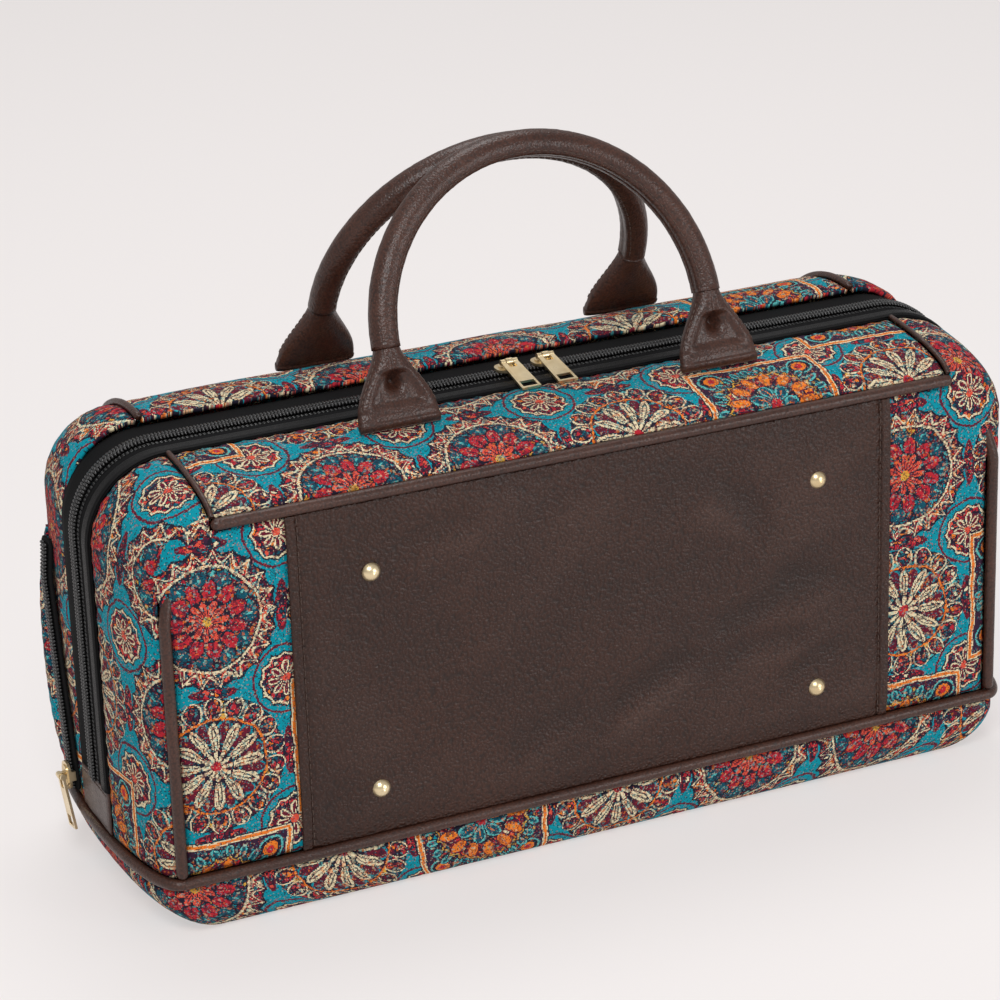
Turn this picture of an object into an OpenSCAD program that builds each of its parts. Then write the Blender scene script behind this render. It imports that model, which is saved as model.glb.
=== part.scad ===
// Travel bag: cloth body with a leather front panel, two rolled handles and a zip over the top.
// Millimetres. X runs along the bag, the front faces -Y, Z is up, the floor is at z = 0.

/* [Body] */
// Length of the front panel between its end seams
panel_l = 470; // [430:5:520]
// Depth between the outer faces of the front and back panels
body_d = 166; // [160:2:190]
// Height of the front panel's top seam above the floor
panel_top_z = 223; // [205:1:250]
// Height of the base seam above the floor
base_h = 34; // [30:1:42]
// How far the front and back of the base are tucked in where they meet the floor
base_tuck = 14; // [8:1:18]
// How far the ends of the base are tucked in where they meet the floor
end_tuck = 30; // [16:1:34]
// Radius of the top corners of the front and back panels
corner_r = 26; // [20:1:34]
// How far the zip stands out beyond the outline of the panels
gusset_rise = 18; // [15:0.5:22]
// Roundness of the top and the ends, where 2 is an ellipse
bow = 2.2; // [2:0.1:2.6]
// Extra swell of the top behind the zip
rear_swell = 6; // [0:0.5:8]
// Thickness of the wall: cloth, foam and lining
wall = 2.4; // [1.8:0.1:3]
// Gap left at each sewn seam
seam_gap = 0.3; // [0.2:0.05:0.4]
// Thickness of the stiff board inside the base
board_t = 2.5; // [2:0.5:4]

/* [Leather trim] */
// Width of the leather panel on the front
leather_w = 342; // [300:2:380]
// Thickness of the leather panel
leather_t = 1.6; // [1.2:0.1:2]
// Width of the folded edge along each side of the leather panel
fold_w = 5; // [3:0.5:8]
// Height of the folded edge above the leather panel
fold_t = 0.7; // [0.4:0.1:1]
// Diameter of the leather piping
piping_d = 6; // [5:0.5:7]
// Width of the welt in each top corner seam
welt_w = 2.4; // [1.6:0.2:3.2]
// Height of the welt above the cloth
welt_proud = 1.4; // [0.8:0.2:2]
// Height of the leather end piece below each end of the zip
zip_end_h = 24; // [16:1:30]

/* [Studs] */
// Distance between the studs along the bag
stud_span = 254; // [220:2:280]
// Height of the lower pair of studs above the floor
stud_low_z = 63; // [55:1:75]
// Height of the upper pair of studs above the floor
stud_high_z = 183; // [165:1:195]
// Diameter of a stud's head
stud_d = 10; // [8:0.5:12]
// Height of a stud's head
stud_h = 3.4; // [2.6:0.2:4.4]
// Diameter of a stud's shank
shank_d = 3; // [2:0.2:4]

/* [Zip] */
// Width from the middle of the zip to the cloth at each side
tape_half = 22; // [19:0.5:24]
// Depth of the tape below the outer line of the zip
tape_drop = 0.8; // [0.6:0.1:1.2]
// Thickness of the tape
tape_t = 1; // [0.8:0.1:1.4]
// Width of the closed chain
chain_w = 7.6; // [6:0.2:8.4]
// Height of the chain above the tape
chain_h = 2.2; // [1.8:0.1:2.8]
// Width of the smooth band on the front tape
band_w = 9; // [7:0.5:11]
// Height of the smooth band
band_h = 1.4; // [1:0.1:1.8]
// Distance from the middle of the bag to each slider
slider_x = 10.5; // [9:0.5:14]
// Length of a slider
slider_l = 15; // [13:0.5:16]
// Width of a slider
slider_w = 12; // [11:0.5:13]
// Thickness of a slider's plate
slider_t = 1.4; // [1:0.1:1.8]
// Diameter of the pin that carries a pull
pin_d = 1.8; // [1.4:0.1:2.2]
// Length of a pull from its pin to its end
pull_l = 29; // [26:0.5:30]
// Width of a pull at its end
pull_w = 11; // [10:0.5:12]
// Thickness of a pull
pull_t = 1.4; // [1:0.1:1.8]

/* [End pocket] */
// Height of the lower end of the pocket's zip above the base piping
pocket_lift = 4; // [3:1:10]
// Distance from the main zip to the lower end of the pocket's zip
pocket_y = 33; // [32:1:35]
// Length of the pocket's zip
pocket_l = 136; // [110:2:140]
// Lean of the pocket's zip towards the back
pocket_slant = 10; // [6:1:11]
// Width of the pocket's tape
pocket_tape_w = 17; // [15:0.5:19]
// Swell of the pocket's cloth
pocket_swell = 5; // [2:0.5:7]

/* [Handles] */
// Distance between the two legs of a handle
handle_span = 182; // [160:2:200]
// Diameter of the rolled leather
handle_d = 15; // [12:0.5:17]
// Diameter of the cord inside the rolled leather
core_d = 10.8; // [8:0.2:11]
// Distance from the zip to the line where the front tabs are sewn on
tab_y = 42; // [38:1:46]
// Distance from the zip to the line where the rear tabs are sewn on
rear_tab_y = 70; // [64:1:72]
// Distance behind the zip at which the two handles lean together
handle_meet = 13; // [8:1:16]
// Width of a tab where it is sewn on
tab_w = 45; // [38:1:50]
// Length of a tab from the sewn line to the rolled leather
tab_h = 36; // [32:1:42]
// Diameter of the rolled edge of a tab
tab_roll_d = 9; // [8:0.5:10]
// Gap between the two handles where they lean together
handle_gap = 0.8; // [0.6:0.1:1.4]

/* [Hidden] */

$fn = 48;
cloth = "teal";
leather = "saddlebrown";
black = "dimgray";
brass = "goldenrod";

// Half the distance over which a slope is measured
slope_step = 0.05;
half_l = panel_l / 2;
half_d = body_d / 2;
seam_x = half_l - corner_r;
corner_z = panel_top_z - corner_r;
piping_r = piping_d / 2;
// The piping sits a little outside the outline of the panels
piping_out = 0.8;
strip_rise = piping_out + piping_r + seam_gap;
strip_y = half_d * pow(1 - pow(strip_rise / gusset_rise, bow), 1 / bow);
panel_in = piping_r + seam_gap - piping_out;
panel_low_z = base_h + piping_r + seam_gap;
panel_high_z = panel_top_z - panel_in;
tray_top_z = base_h - piping_r - seam_gap;
// Share of the ends' bulge that is left at the floor
floor_bulge = 0.35;
strip_steps = 8;
corner_steps = 6;
end_steps = 16;
tray_steps = 6;
ring_sides = 8;

tape_top = gusset_rise - tape_drop;
chain_gap = 0.1;
// Share of a bead's height that is straight
bead_shoulder = 0.35;
chain_low = tape_top + chain_gap;
chain_top = chain_low + chain_h;
zip_low_z = panel_low_z + zip_end_h + seam_gap;
slider_gap = 0.3;
plate_low = chain_top + slider_gap;
plate_top = plate_low + slider_t;
plate_corner_r = 3;
slider_corner_r = 5;
step_in = 2;
step_t = 0.7;
cheek_l = slider_l - 2 * slider_corner_r;
lug_w = 3.6;
lug_r = 2;
eye_r = 1.6;
pin_clear = 0.2;
pin_lift = 0.6;
pin_rise = plate_top + lug_r + pin_lift;
pin_over_tape = pin_rise - tape_top;
pull_droop = asin((pin_rise - pull_t / 2 - 2 * seam_gap - rise_at(-pull_l, 0)) / pull_l);
// The pocket's pull hangs over its chain, so it stays clear of the chain's top
pocket_droop = asin((pin_over_tape - pull_t / 2 - 2 * seam_gap - chain_gap - chain_h) / pull_l);
// The pull widens from its fork to its end, where it has a window
fork_w = pull_w - 1.6;
fork_l = 6.6;
window_side = 1.5;
window_w = pull_w - 2 * window_side;
window_l = 5.4;

pocket_z = panel_low_z + pocket_lift;
pocket_lap = 1;
pocket_x = -(half_l + rise_at(pocket_y - pocket_tape_w / 2 - pocket_lap, 0) + seam_gap);
pocket_rest = 8;
pocket_edge = 1.2;
pocket_steps = 8;
// How squarely the pocket swells towards its edges
pocket_square = 3;
pocket_back_gap = 8;
pocket_back_y = strip_y - pocket_back_gap;

handle_r = handle_span / 2;
tube_r = handle_d / 2;
core_gap = 0.2;
core_tail = 10;
arch_h = tab_h + handle_r;
tab_roll_r = tab_roll_d / 2;
front_hinge = hinge_at(-tab_y, 0);
rear_hinge = hinge_at(rear_tab_y, rear_swell);
front_lean = asin((handle_meet - front_hinge[0] - tube_r - handle_gap / 2) / arch_h);
rear_lean = asin((rear_hinge[0] - handle_meet - tube_r - handle_gap / 2) / arch_h);
tab_steps = 10;
// How quickly a tab narrows above the sewn line
tab_flare = 1.4;
tab_inset = 0.6;
tab_sides = 24;
tab_fold = 5;
tab_fold_low = 0.1;
tab_fold_high = 0.72;
tab_fold_spread = 0.36;

stud_clear = 0.2;
washer_d = 12;
washer_t = 1;
board_gap = 1;

// Height of the bag's outer face above the outline of the panels, at a distance y from the zip
function rise_at(y, swell) =
    gusset_rise * pow(max(0, 1 - pow(abs(y) / half_d, bow)), 1 / bow)
    + (y > 0 ? swell * sin(180 * y / half_d) : 0);

// Slope of that outer face
function slope_at(y, swell) =
    (rise_at(y + slope_step, swell) - rise_at(y - slope_step, swell)) / (2 * slope_step);

// Point that lies off the outer face by a distance, along the face's normal
function off_face(y, swell, distance) =
    let (m = slope_at(y, swell), k = sqrt(1 + m * m))
    [y - distance * m / k, rise_at(y, swell) + distance / k];

// Axis of a tab's rolled edge, as y and height above the floor
function hinge_at(y, swell) =
    off_face(y, swell, tab_roll_r + seam_gap) + [0, panel_top_z];

// Distances from the zip at which a strip is sampled, from its piping to the tape
function strip_ys(side) =
    let (first = acos(strip_y / half_d), last = acos(tape_half / half_d))
    [for (i = [0 : strip_steps]) side * half_d * cos(first + (last - first) * i / strip_steps)];

// Cross-section of a strip between two heights off the outer face
function strip_section(side, swell, low, high) =
    let (ys = strip_ys(side))
    concat([for (y = ys) off_face(y, swell, high)],
        [for (i = [strip_steps : -1 : 0]) off_face(ys[i], swell, low)]);

// Point of a section on the left end, turned from the end towards the top
function end_point(p, turn) =
    [-(seam_x + (corner_r + p[1]) * cos(turn)), p[0], corner_z + (corner_r + p[1]) * sin(turn)];

function reversed(list) = [for (i = [len(list) - 1 : -1 : 0]) list[i]];

// Smooth step from 0 to 1
function smooth(t) = t * t * (3 - 2 * t);

// Outline of the base at a height, tucked in by a share from 0 to 1 and drawn in by a distance
function body_ring(tuck, inset, z) =
    let (
        d = half_d - inset - tuck * base_tuck,
        l = half_l - inset - tuck * end_tuck,
        bulge = 1 - tuck * (1 - floor_bulge),
        ends = [for (i = [0 : end_steps]) -cos(180 * i / end_steps)],
        right = [for (e = ends) [l + bulge * rise_at(e * half_d, 0), e * d, z]]
    )
    concat(right, [for (p = reversed(right)) [-p[0], p[1], z]]);

// Solid through a row of sections with the same number of points, closed at both ends
module skin(sections) {
    n = len(sections[0]);
    last = len(sections) - 1;
    points = [for (s = sections) for (p = s) p];
    sides = [for (k = [0 : last - 1]) for (i = [0 : n - 1])
        each [
            [k * n + i, k * n + (i + 1) % n, (k + 1) * n + (i + 1) % n],
            [k * n + i, (k + 1) * n + (i + 1) % n, (k + 1) * n + i]
        ]];
    caps = [[for (i = [n - 1 : -1 : 0]) i], [for (i = [0 : n - 1]) last * n + i]];
    polyhedron(points, concat(sides, caps));
}

// Tube along a closed row of points that lies level
module level_ring_tube(path, radius) {
    n = len(path);
    points = [for (i = [0 : n - 1])
        let (
            t = path[(i + 1) % n] - path[(i + n - 1) % n],
            k = norm(t),
            out = [t[1], -t[0], 0] / k
        )
        for (j = [0 : ring_sides - 1])
            let (a = 360 * j / ring_sides)
            path[i] + radius * (cos(a) * out + [0, 0, sin(a)])];
    faces = [for (i = [0 : n - 1]) for (j = [0 : ring_sides - 1])
        let (
            a = i * ring_sides + j,
            b = i * ring_sides + (j + 1) % ring_sides,
            c = ((i + 1) % n) * ring_sides + (j + 1) % ring_sides,
            d = ((i + 1) % n) * ring_sides + j
        )
        each [[a, b, c], [a, c, d]]];
    polyhedron(points, faces);
}

// Copies for the right end are mirrored from the left end
module on_side(side) {
    mirror([side > 0 ? 1 : 0, 0, 0]) children();
}

// Copies for the back are mirrored from the front
module on_face(side) {
    mirror([0, side > 0 ? 1 : 0, 0]) children();
}

// Lays a drawing of x and z upright, with its thickness towards the front
module upright(front_y, thickness) {
    translate([0, front_y + thickness, 0])
        rotate([90, 0, 0])
            linear_extrude(thickness) children();
}

module rounded_rect(w, h, r) {
    square([w - 2 * r, h], center = true);
    square([w, h - 2 * r], center = true);
    for (x = [-1, 1], y = [-1, 1])
        translate([x * (w / 2 - r), y * (h / 2 - r)]) circle(r);
}

// Outline of the front and back panels: short of the piping, but out to the seam at the top corners
module panel_outline() {
    translate([-seam_x, panel_low_z]) square([2 * seam_x, panel_high_z - panel_low_z]);
    translate([-(half_l - panel_in), panel_low_z])
        square([2 * (half_l - panel_in), corner_z - panel_low_z]);
    for (side = [-1, 1])
        translate([side * seam_x, corner_z])
            intersection() {
                circle(corner_r + strip_rise - 3 * seam_gap);
                translate([side > 0 ? 0 : -2 * corner_r, 0]) square(2 * corner_r);
            }
}

module at_studs() {
    for (x = [-stud_span / 2, stud_span / 2], z = [stud_low_z, stud_high_z])
        translate([x, -half_d, z]) rotate([90, 0, 0]) children();
}

module stud_holes() {
    at_studs() cylinder(d = shank_d + 2 * stud_clear, h = 4 * wall + 4 * leather_t, center = true);
}

module front_panel() {
    color(cloth) difference() {
        upright(-half_d, wall) panel_outline();
        stud_holes();
    }
}

module back_panel() {
    color(cloth) upright(half_d - wall, wall) panel_outline();
}

module front_leather() {
    leather_h = panel_high_z - panel_low_z;
    color(leather) difference() {
        union() {
            upright(-half_d - leather_t, leather_t)
                translate([-leather_w / 2, panel_low_z]) square([leather_w, leather_h]);
            for (side = [-1, 1])
                upright(-half_d - leather_t - fold_t, fold_t)
                    translate([side * (leather_w - fold_w) / 2 - fold_w / 2, panel_low_z])
                        square([fold_w, leather_h]);
        }
        stud_holes();
    }
}

// Strip of cloth along the top, between the corner welts
module top_strip(side, swell) {
    length = 2 * (seam_x - welt_w - 2 * seam_gap);
    color(cloth) translate([0, 0, panel_top_z])
        rotate([90, 0, 90])
            linear_extrude(length, center = true)
                polygon(strip_section(side, swell, -wall, 0));
}

// Strip of cloth up the left end and round its top corner
module end_strip(side, swell) {
    turns = [for (i = [0 : corner_steps]) i / corner_steps];
    low = [for (p = strip_section(side, 0, -wall, 0)) [-(half_l + p[1]), p[0], panel_low_z]];
    corner = [for (t = turns)
        [for (p = strip_section(side, swell * smooth(t), -wall, 0)) end_point(p, 90 * t)]];
    sections = concat([low], corner);
    color(cloth) skin(side > 0 ? [for (s = sections) reversed(s)] : sections);
}

// Thin leather welt in the seam between a top strip and the left end strip
module corner_welt(side, swell) {
    color(leather) translate([-seam_x + seam_gap, 0, panel_top_z])
        rotate([90, 0, 90])
            linear_extrude(welt_w)
                polygon(strip_section(side, swell, -wall, welt_proud));
}

// Cloth base: a flat floor with rounded edges up to the base seam
module base_tray() {
    turns = [for (i = [0 : tray_steps]) 90 * i / tray_steps];
    outer = [for (a = turns) body_ring(1 - cos(a), 0, tray_top_z * (1 - sin(a)))];
    inner = [for (a = turns) body_ring(1 - cos(a), wall, wall + (tray_top_z - wall) * (1 - sin(a)))];
    color(cloth) skin(reversed(concat(reversed(inner), outer)));
}

module base_board() {
    color("tan") translate([0, 0, wall + seam_gap])
        linear_extrude(board_t)
            polygon([for (p = body_ring(1, wall + board_gap, 0)) [p[0], p[1]]]);
}

// Straight piping with round ends, from the origin along Z
module piping(length) {
    color(leather) {
        translate([0, 0, piping_r]) cylinder(r = piping_r, h = length - 2 * piping_r);
        for (z = [piping_r, length - piping_r]) translate([0, 0, z]) sphere(piping_r);
    }
}

module top_piping(side) {
    length = 2 * (seam_x - seam_gap);
    translate([-length / 2, side * half_d, panel_top_z + piping_out]) rotate([0, 90, 0]) piping(length);
}

module end_piping(side) {
    low = base_h + piping_r + seam_gap;
    translate([-half_l - piping_out, side * half_d, low]) piping(corner_z - seam_gap - low);
}

module base_piping() {
    color(leather) level_ring_tube(body_ring(0, 0, base_h), piping_r);
}

// Sweeps a zip profile of y and height up the left end, over the top and down the right end
module zip_sweep(profile) {
    translate([0, 0, panel_top_z])
        rotate([90, 0, 90]) linear_extrude(2 * seam_x, center = true) polygon(profile);
    for (side = [-1, 1]) on_side(side) {
        translate([-seam_x, 0, corner_z])
            rotate([90, 0, 0]) rotate([0, 0, 90])
                rotate_extrude(angle = 90)
                    polygon([for (p = profile) [corner_r + p[1], -p[0]]]);
        translate([0, 0, zip_low_z])
            linear_extrude(corner_z - zip_low_z)
                polygon([for (p = profile) [-(half_l + p[1]), p[0]]]);
    }
}

function box_profile(y0, y1, low, high) = [[y0, low], [y1, low], [y1, high], [y0, high]];

// Rounded bead from y0 to y1 that stands on a level
function bead_profile(y0, y1, low, height) =
    let (mid = (y0 + y1) / 2, reach = (y1 - y0) / 2, shoulder = bead_shoulder * height)
    concat([[y0, low], [y1, low]],
        [for (a = [0 : 30 : 180]) [mid + reach * cos(a), low + shoulder + (height - shoulder) * sin(a)]]);

// Half of a closed chain, beside the middle line
function chain_profile(side, low) =
    side < 0 ? bead_profile(-chain_w / 2, -chain_gap, low, chain_h)
    : bead_profile(chain_gap, chain_w / 2, low, chain_h);

module zip_tape(side) {
    near = side < 0 ? -(tape_half - seam_gap) : chain_gap;
    far = side < 0 ? -chain_gap : tape_half - seam_gap;
    color(black) zip_sweep(box_profile(near, far, tape_top - tape_t, tape_top));
}

module zip_band() {
    outer = tape_half - 2 * seam_gap;
    color(black) zip_sweep(bead_profile(-outer, band_w - outer, tape_top + chain_gap, band_h));
}

module zip_chain(side) {
    color(black) zip_sweep(chain_profile(side, chain_low));
}

// Leather end piece that closes the slot below the zip
module zip_end() {
    color(leather) translate([-(half_l + gusset_rise), 0, panel_low_z + zip_end_h / 2])
        rotate([90, 0, 90])
            linear_extrude(wall) rounded_rect(2 * (tape_half - seam_gap), zip_end_h, plate_corner_r);
}

// Slider over a chain along X, with its plate above the tape at height 0 and its lug turned about Z
module slider(turn) {
    rise = plate_low - tape_top;
    pin_z = pin_rise - tape_top;
    inner_w = chain_w + 2 * slider_gap;
    color(brass) difference() {
        union() {
            translate([0, 0, rise]) linear_extrude(slider_t)
                rounded_rect(slider_l, slider_w, slider_corner_r);
            translate([0, 0, rise]) linear_extrude(slider_t + step_t)
                rounded_rect(slider_l - 2 * step_in, slider_w - 2 * step_in, slider_corner_r - step_in);
            for (side = [-1, 1])
                translate([0, side * (inner_w + slider_w) / 4, (rise + slider_gap) / 2])
                    cube([cheek_l, (slider_w - inner_w) / 2, rise - slider_gap], center = true);
            rotate([0, 0, turn]) {
                translate([-lug_w / 2, -lug_r, rise]) cube([lug_w, 2 * lug_r, pin_z - rise]);
                translate([0, 0, pin_z]) rotate([0, 90, 0]) cylinder(r = lug_r, h = lug_w, center = true);
            }
        }
        translate([0, 0, pin_z]) rotate([0, 0, turn]) rotate([0, 90, 0])
            cylinder(d = pin_d + 2 * pin_clear, h = 2 * lug_w, center = true);
    }
}

// Pull on a pin along X at the origin, hanging towards -Y: a fork with eyes, and a plate with a window
module pull() {
    inner_w = lug_w + 2 * slider_gap;
    color(brass) {
        translate([0, 0, -pull_t / 2]) linear_extrude(pull_t) difference() {
            polygon([[-fork_w / 2, 0], [fork_w / 2, 0], [pull_w / 2, -pull_l], [-pull_w / 2, -pull_l]]);
            translate([-inner_w / 2, -fork_l]) square([inner_w, 2 * fork_l]);
            translate([-window_w / 2, window_side - pull_l]) square([window_w, window_l]);
        }
        for (side = [-1, 1])
            translate([side * (inner_w + fork_w) / 4, 0, 0]) rotate([0, 90, 0])
                cylinder(r = eye_r, h = (fork_w - inner_w) / 2, center = true);
        rotate([0, 90, 0]) cylinder(d = pin_d, h = fork_w, center = true);
    }
}

module main_slider(side) {
    translate([side * slider_x, 0, panel_top_z + tape_top]) slider(0);
}

module main_pull(side) {
    translate([side * slider_x, 0, panel_top_z + pin_rise]) rotate([pull_droop, 0, 0]) pull();
}

// Frame of the pocket's zip: X up along the zip, Z away from the left end, the tape's top at height 0
module on_pocket() {
    tilt_y = sin(pocket_slant);
    tilt_z = cos(pocket_slant);
    multmatrix([
        [0, 0, -1, pocket_x - tape_t],
        [tilt_y, tilt_z, 0, pocket_y],
        [tilt_z, -tilt_y, 0, pocket_z]
    ]) children();
}

module pocket_tape() {
    color(black) on_pocket()
        translate([pocket_l / 2, 0, -tape_t])
            linear_extrude(tape_t) rounded_rect(pocket_l, pocket_tape_w, plate_corner_r);
}

module pocket_chain() {
    color(black) on_pocket()
        for (side = [-1, 1])
            rotate([90, 0, 90]) linear_extrude(pocket_l) polygon(chain_profile(side, chain_gap));
}

module pocket_slider() {
    on_pocket() translate([pocket_rest, 0, 0]) slider(-90);
}

module pocket_pull() {
    on_pocket() translate([pocket_rest, 0, pin_over_tape])
        rotate([0, 0, -90]) rotate([pocket_droop, 0, 0]) pull();
}

// Swollen cloth of the pocket, between its zip and the back of the left end
module pocket_panel() {
    tape_edge = (pocket_tape_w / 2 + 2 * seam_gap) / cos(pocket_slant);
    high_z = pocket_z + pocket_l * cos(pocket_slant);
    function front_y(z) = pocket_y + tape_edge + (z - pocket_z) * tan(pocket_slant);
    function ease(t) = 1 - pow(abs(2 * t - 1), pocket_square);
    function face(u, v, layer) =
        let (
            z = pocket_z + (high_z - pocket_z) * v,
            y = front_y(z) + (pocket_back_y - front_y(z)) * u,
            height = layer * (pocket_edge + pocket_swell * ease(u) * ease(v))
        )
        [-(half_l + rise_at(y, 0) + seam_gap + height), y, z];
    n = pocket_steps;
    sections = [for (i = [0 : n])
        concat([for (j = [0 : n]) face(j / n, i / n, 1)],
            [for (j = [n : -1 : 0]) face(j / n, i / n, 0)])];
    color(cloth) skin(sections);
}

// Frame of a handle: the sewn line along X at the origin and the arch upwards in Z
module on_handle(side) {
    hinge = side < 0 ? front_hinge : rear_hinge;
    translate([0, hinge[0], hinge[1]])
        rotate([side < 0 ? -front_lean : rear_lean, 0, 0]) children();
}

// Half ring of the arch on the tops of the tabs
module arch() {
    translate([0, 0, tab_h]) rotate([90, 0, 0])
        rotate_extrude(angle = 180) translate([handle_r, 0]) children();
}

module handle_cover(side) {
    color(leather) on_handle(side) arch() difference() {
        circle(d = handle_d);
        circle(d = core_d + 2 * core_gap);
    }
}

module handle_core(side) {
    color("tan") on_handle(side) {
        arch() circle(d = core_d);
        for (x = [-handle_r, handle_r])
            translate([x, 0, tab_h - core_tail]) cylinder(d = core_d, h = core_tail);
    }
}

// Level section of a tab, at a share t of its height: flat and wide at the sewn line, round at the
// top, with a fold pressed into its outer face
function tab_section(t) =
    let (
        foot = tab_roll_r - tab_inset,
        w = tube_r + (tab_w / 2 - tab_inset - tube_r) * pow(cos(90 * t), tab_flare),
        d = foot + (tube_r - foot) * sin(90 * t),
        dent = tab_fold * max(0, sin(180 * (t - tab_fold_low) / (tab_fold_high - tab_fold_low)))
    )
    [for (i = [0 : tab_sides - 1])
        let (a = 360 * i / tab_sides, share = cos(a) / tab_fold_spread)
        [w * cos(a), d * sin(a) + (a > 180 ? dent * exp(-share * share) : 0), tab_h * t]];

// Flared tab under one leg of a handle, with a rolled edge and a deep fold on its outer face
module tab(side, end) {
    color(leather) on_handle(side) on_face(side) translate([end * handle_r, 0, 0])
        difference() {
            union() {
                skin([for (i = [tab_steps : -1 : 0]) tab_section(i / tab_steps)]);
                rotate([0, 90, 0]) cylinder(r = tab_roll_r, h = tab_w, center = true);
            }
            translate([0, 0, tab_h - core_tail - core_gap])
                cylinder(d = core_d + 2 * core_gap, h = core_tail + 2 * core_gap);
        }
}

// Domed stud heads on the leather, with shanks through the front wall
module studs() {
    dome_r = (stud_d * stud_d / 4 + stud_h * stud_h) / (2 * stud_h);
    color(brass) at_studs() {
        translate([0, 0, leather_t]) intersection() {
            translate([0, 0, stud_h - dome_r]) sphere(dome_r);
            translate([0, 0, dome_r]) cube(2 * dome_r, center = true);
        }
        translate([0, 0, -wall - washer_t])
            cylinder(d = shank_d, h = wall + washer_t + leather_t + stud_h / 2);
    }
}

module stud_washers() {
    color(brass) at_studs() translate([0, 0, -wall - washer_t]) difference() {
        cylinder(d = washer_d, h = washer_t);
        translate([0, 0, -washer_t]) cylinder(d = shank_d + 2 * stud_clear, h = 3 * washer_t);
    }
}

front_panel();
back_panel();
front_leather();
top_strip(-1, 0);  // top_strip_front
top_strip(1, rear_swell);  // top_strip_rear
end_strip(-1, 0);  // left_end_front
end_strip(1, rear_swell);  // left_end_rear
on_side(1) end_strip(-1, 0);  // right_end_front
on_side(1) end_strip(1, rear_swell);  // right_end_rear
base_tray();
base_board();
top_piping(-1);  // front_top_piping
end_piping(-1);  // front_left_piping
on_side(1) end_piping(-1);  // front_right_piping
top_piping(1);  // rear_top_piping
end_piping(1);  // rear_left_piping
on_side(1) end_piping(1);  // rear_right_piping
base_piping();
corner_welt(-1, 0);  // front_left_welt
on_side(1) corner_welt(-1, 0);  // front_right_welt
corner_welt(1, rear_swell);  // rear_left_welt
on_side(1) corner_welt(1, rear_swell);  // rear_right_welt
zip_tape(-1);  // zip_tape_front
zip_tape(1);  // zip_tape_rear
zip_band();
zip_chain(-1);  // zip_chain_front
zip_chain(1);  // zip_chain_rear
zip_end();  // left_zip_end
on_side(1) zip_end();  // right_zip_end
main_slider(-1);  // left_slider
main_pull(-1);  // left_pull
main_slider(1);  // right_slider
main_pull(1);  // right_pull
pocket_panel();
pocket_tape();
pocket_chain();
pocket_slider();
pocket_pull();
handle_cover(-1);  // front_handle_cover
handle_core(-1);  // front_handle_core
tab(-1, -1);  // front_left_tab
tab(-1, 1);  // front_right_tab
handle_cover(1);  // rear_handle_cover
handle_core(1);  // rear_handle_core
tab(1, -1);  // rear_left_tab
tab(1, 1);  // rear_right_tab
studs();
stud_washers();
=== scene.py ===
# Looks of a travel bag: printed cloth, dark leather, a coil zip and brass fittings.
# Sizes are in millimetres and carry the names that the part's own source gives them.
from functools import partialmethod
from math import acos, asin, cos, hypot, pi, radians, sin, sqrt, tan, tau

import bpy
import numpy as np
from mathutils import Matrix, Vector, noise


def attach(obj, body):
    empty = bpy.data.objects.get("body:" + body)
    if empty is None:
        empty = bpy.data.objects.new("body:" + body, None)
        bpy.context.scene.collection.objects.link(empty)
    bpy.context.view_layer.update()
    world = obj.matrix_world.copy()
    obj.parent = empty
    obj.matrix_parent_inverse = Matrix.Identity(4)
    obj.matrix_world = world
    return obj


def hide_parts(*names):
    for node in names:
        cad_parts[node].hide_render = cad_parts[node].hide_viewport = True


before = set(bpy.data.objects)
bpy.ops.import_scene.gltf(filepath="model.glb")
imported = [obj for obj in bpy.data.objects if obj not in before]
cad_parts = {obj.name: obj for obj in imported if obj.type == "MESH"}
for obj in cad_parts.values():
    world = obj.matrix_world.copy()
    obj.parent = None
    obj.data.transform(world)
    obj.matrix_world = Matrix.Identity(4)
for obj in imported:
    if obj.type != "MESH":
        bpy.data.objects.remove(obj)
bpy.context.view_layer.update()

MM = 0.001
ENDS = {"left": -1, "right": 1}
SIDES = {"front": -1, "rear": 1}

# Body
half_l = 235
half_d = 83
panel_top_z = 223
base_h = 34
base_tuck = 14
end_tuck = 30
floor_bulge = 0.35
corner_r = 26
gusset_rise = 18
bow = 2.2
rear_swell = 6
wall = 2.4
seam_gap = 0.3
seam_x = half_l - corner_r
corner_z = panel_top_z - corner_r
body_middle = (0, 0, 120)

# Swell of the top on each side of the zip
SWELL = {-1: 0, 1: rear_swell}

# Leather trim
leather_w = 342
leather_t = 1.6
fold_w = 5
fold_t = 0.7
fold_slope = 0.9
side_round = 0.9
sewn_in = 1.1
piping_r = 3
piping_out = 0.8
piping_uneven = 0.025
piping_sides = 18
dive_length = 24
dive_depth = 4.2
close_length = 26
welt_w = 2.4
welt_r = {-1: 0.58 * welt_w, 1: 0.85 * welt_w}
zip_end_h = 24
zip_end_sewn = 2.2
panel_in = piping_r + seam_gap - piping_out
panel_low_z = base_h + piping_r + seam_gap
panel_high_z = panel_top_z - panel_in
tray_top_z = base_h - piping_r - seam_gap
strip_rise = piping_out + piping_r + seam_gap
strip_y = half_d * (1 - (strip_rise / gusset_rise) ** bow) ** (1 / bow)

# Zip
tape_half = 22
tape_top = gusset_rise - 0.8
tape_t = 1
chain_w = 7.6
chain_h = 2.2
chain_gap = 0.1
band_w = 9
band_h = 1.4
zip_low_z = panel_low_z + zip_end_h + seam_gap
tooth_pitch = 1.9
tooth_r = 0.46 * tooth_pitch
tooth_l = chain_w / 2 + 0.5
tooth_arch = 0.35 * chain_h
tooth_tall = 1.15
tooth_y = chain_w / 4 - 0.1
tooth_rise = chain_gap + 0.45 * chain_h
sewn_rows = (-6.3, -4.9, 4.9, 6.3)

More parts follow.
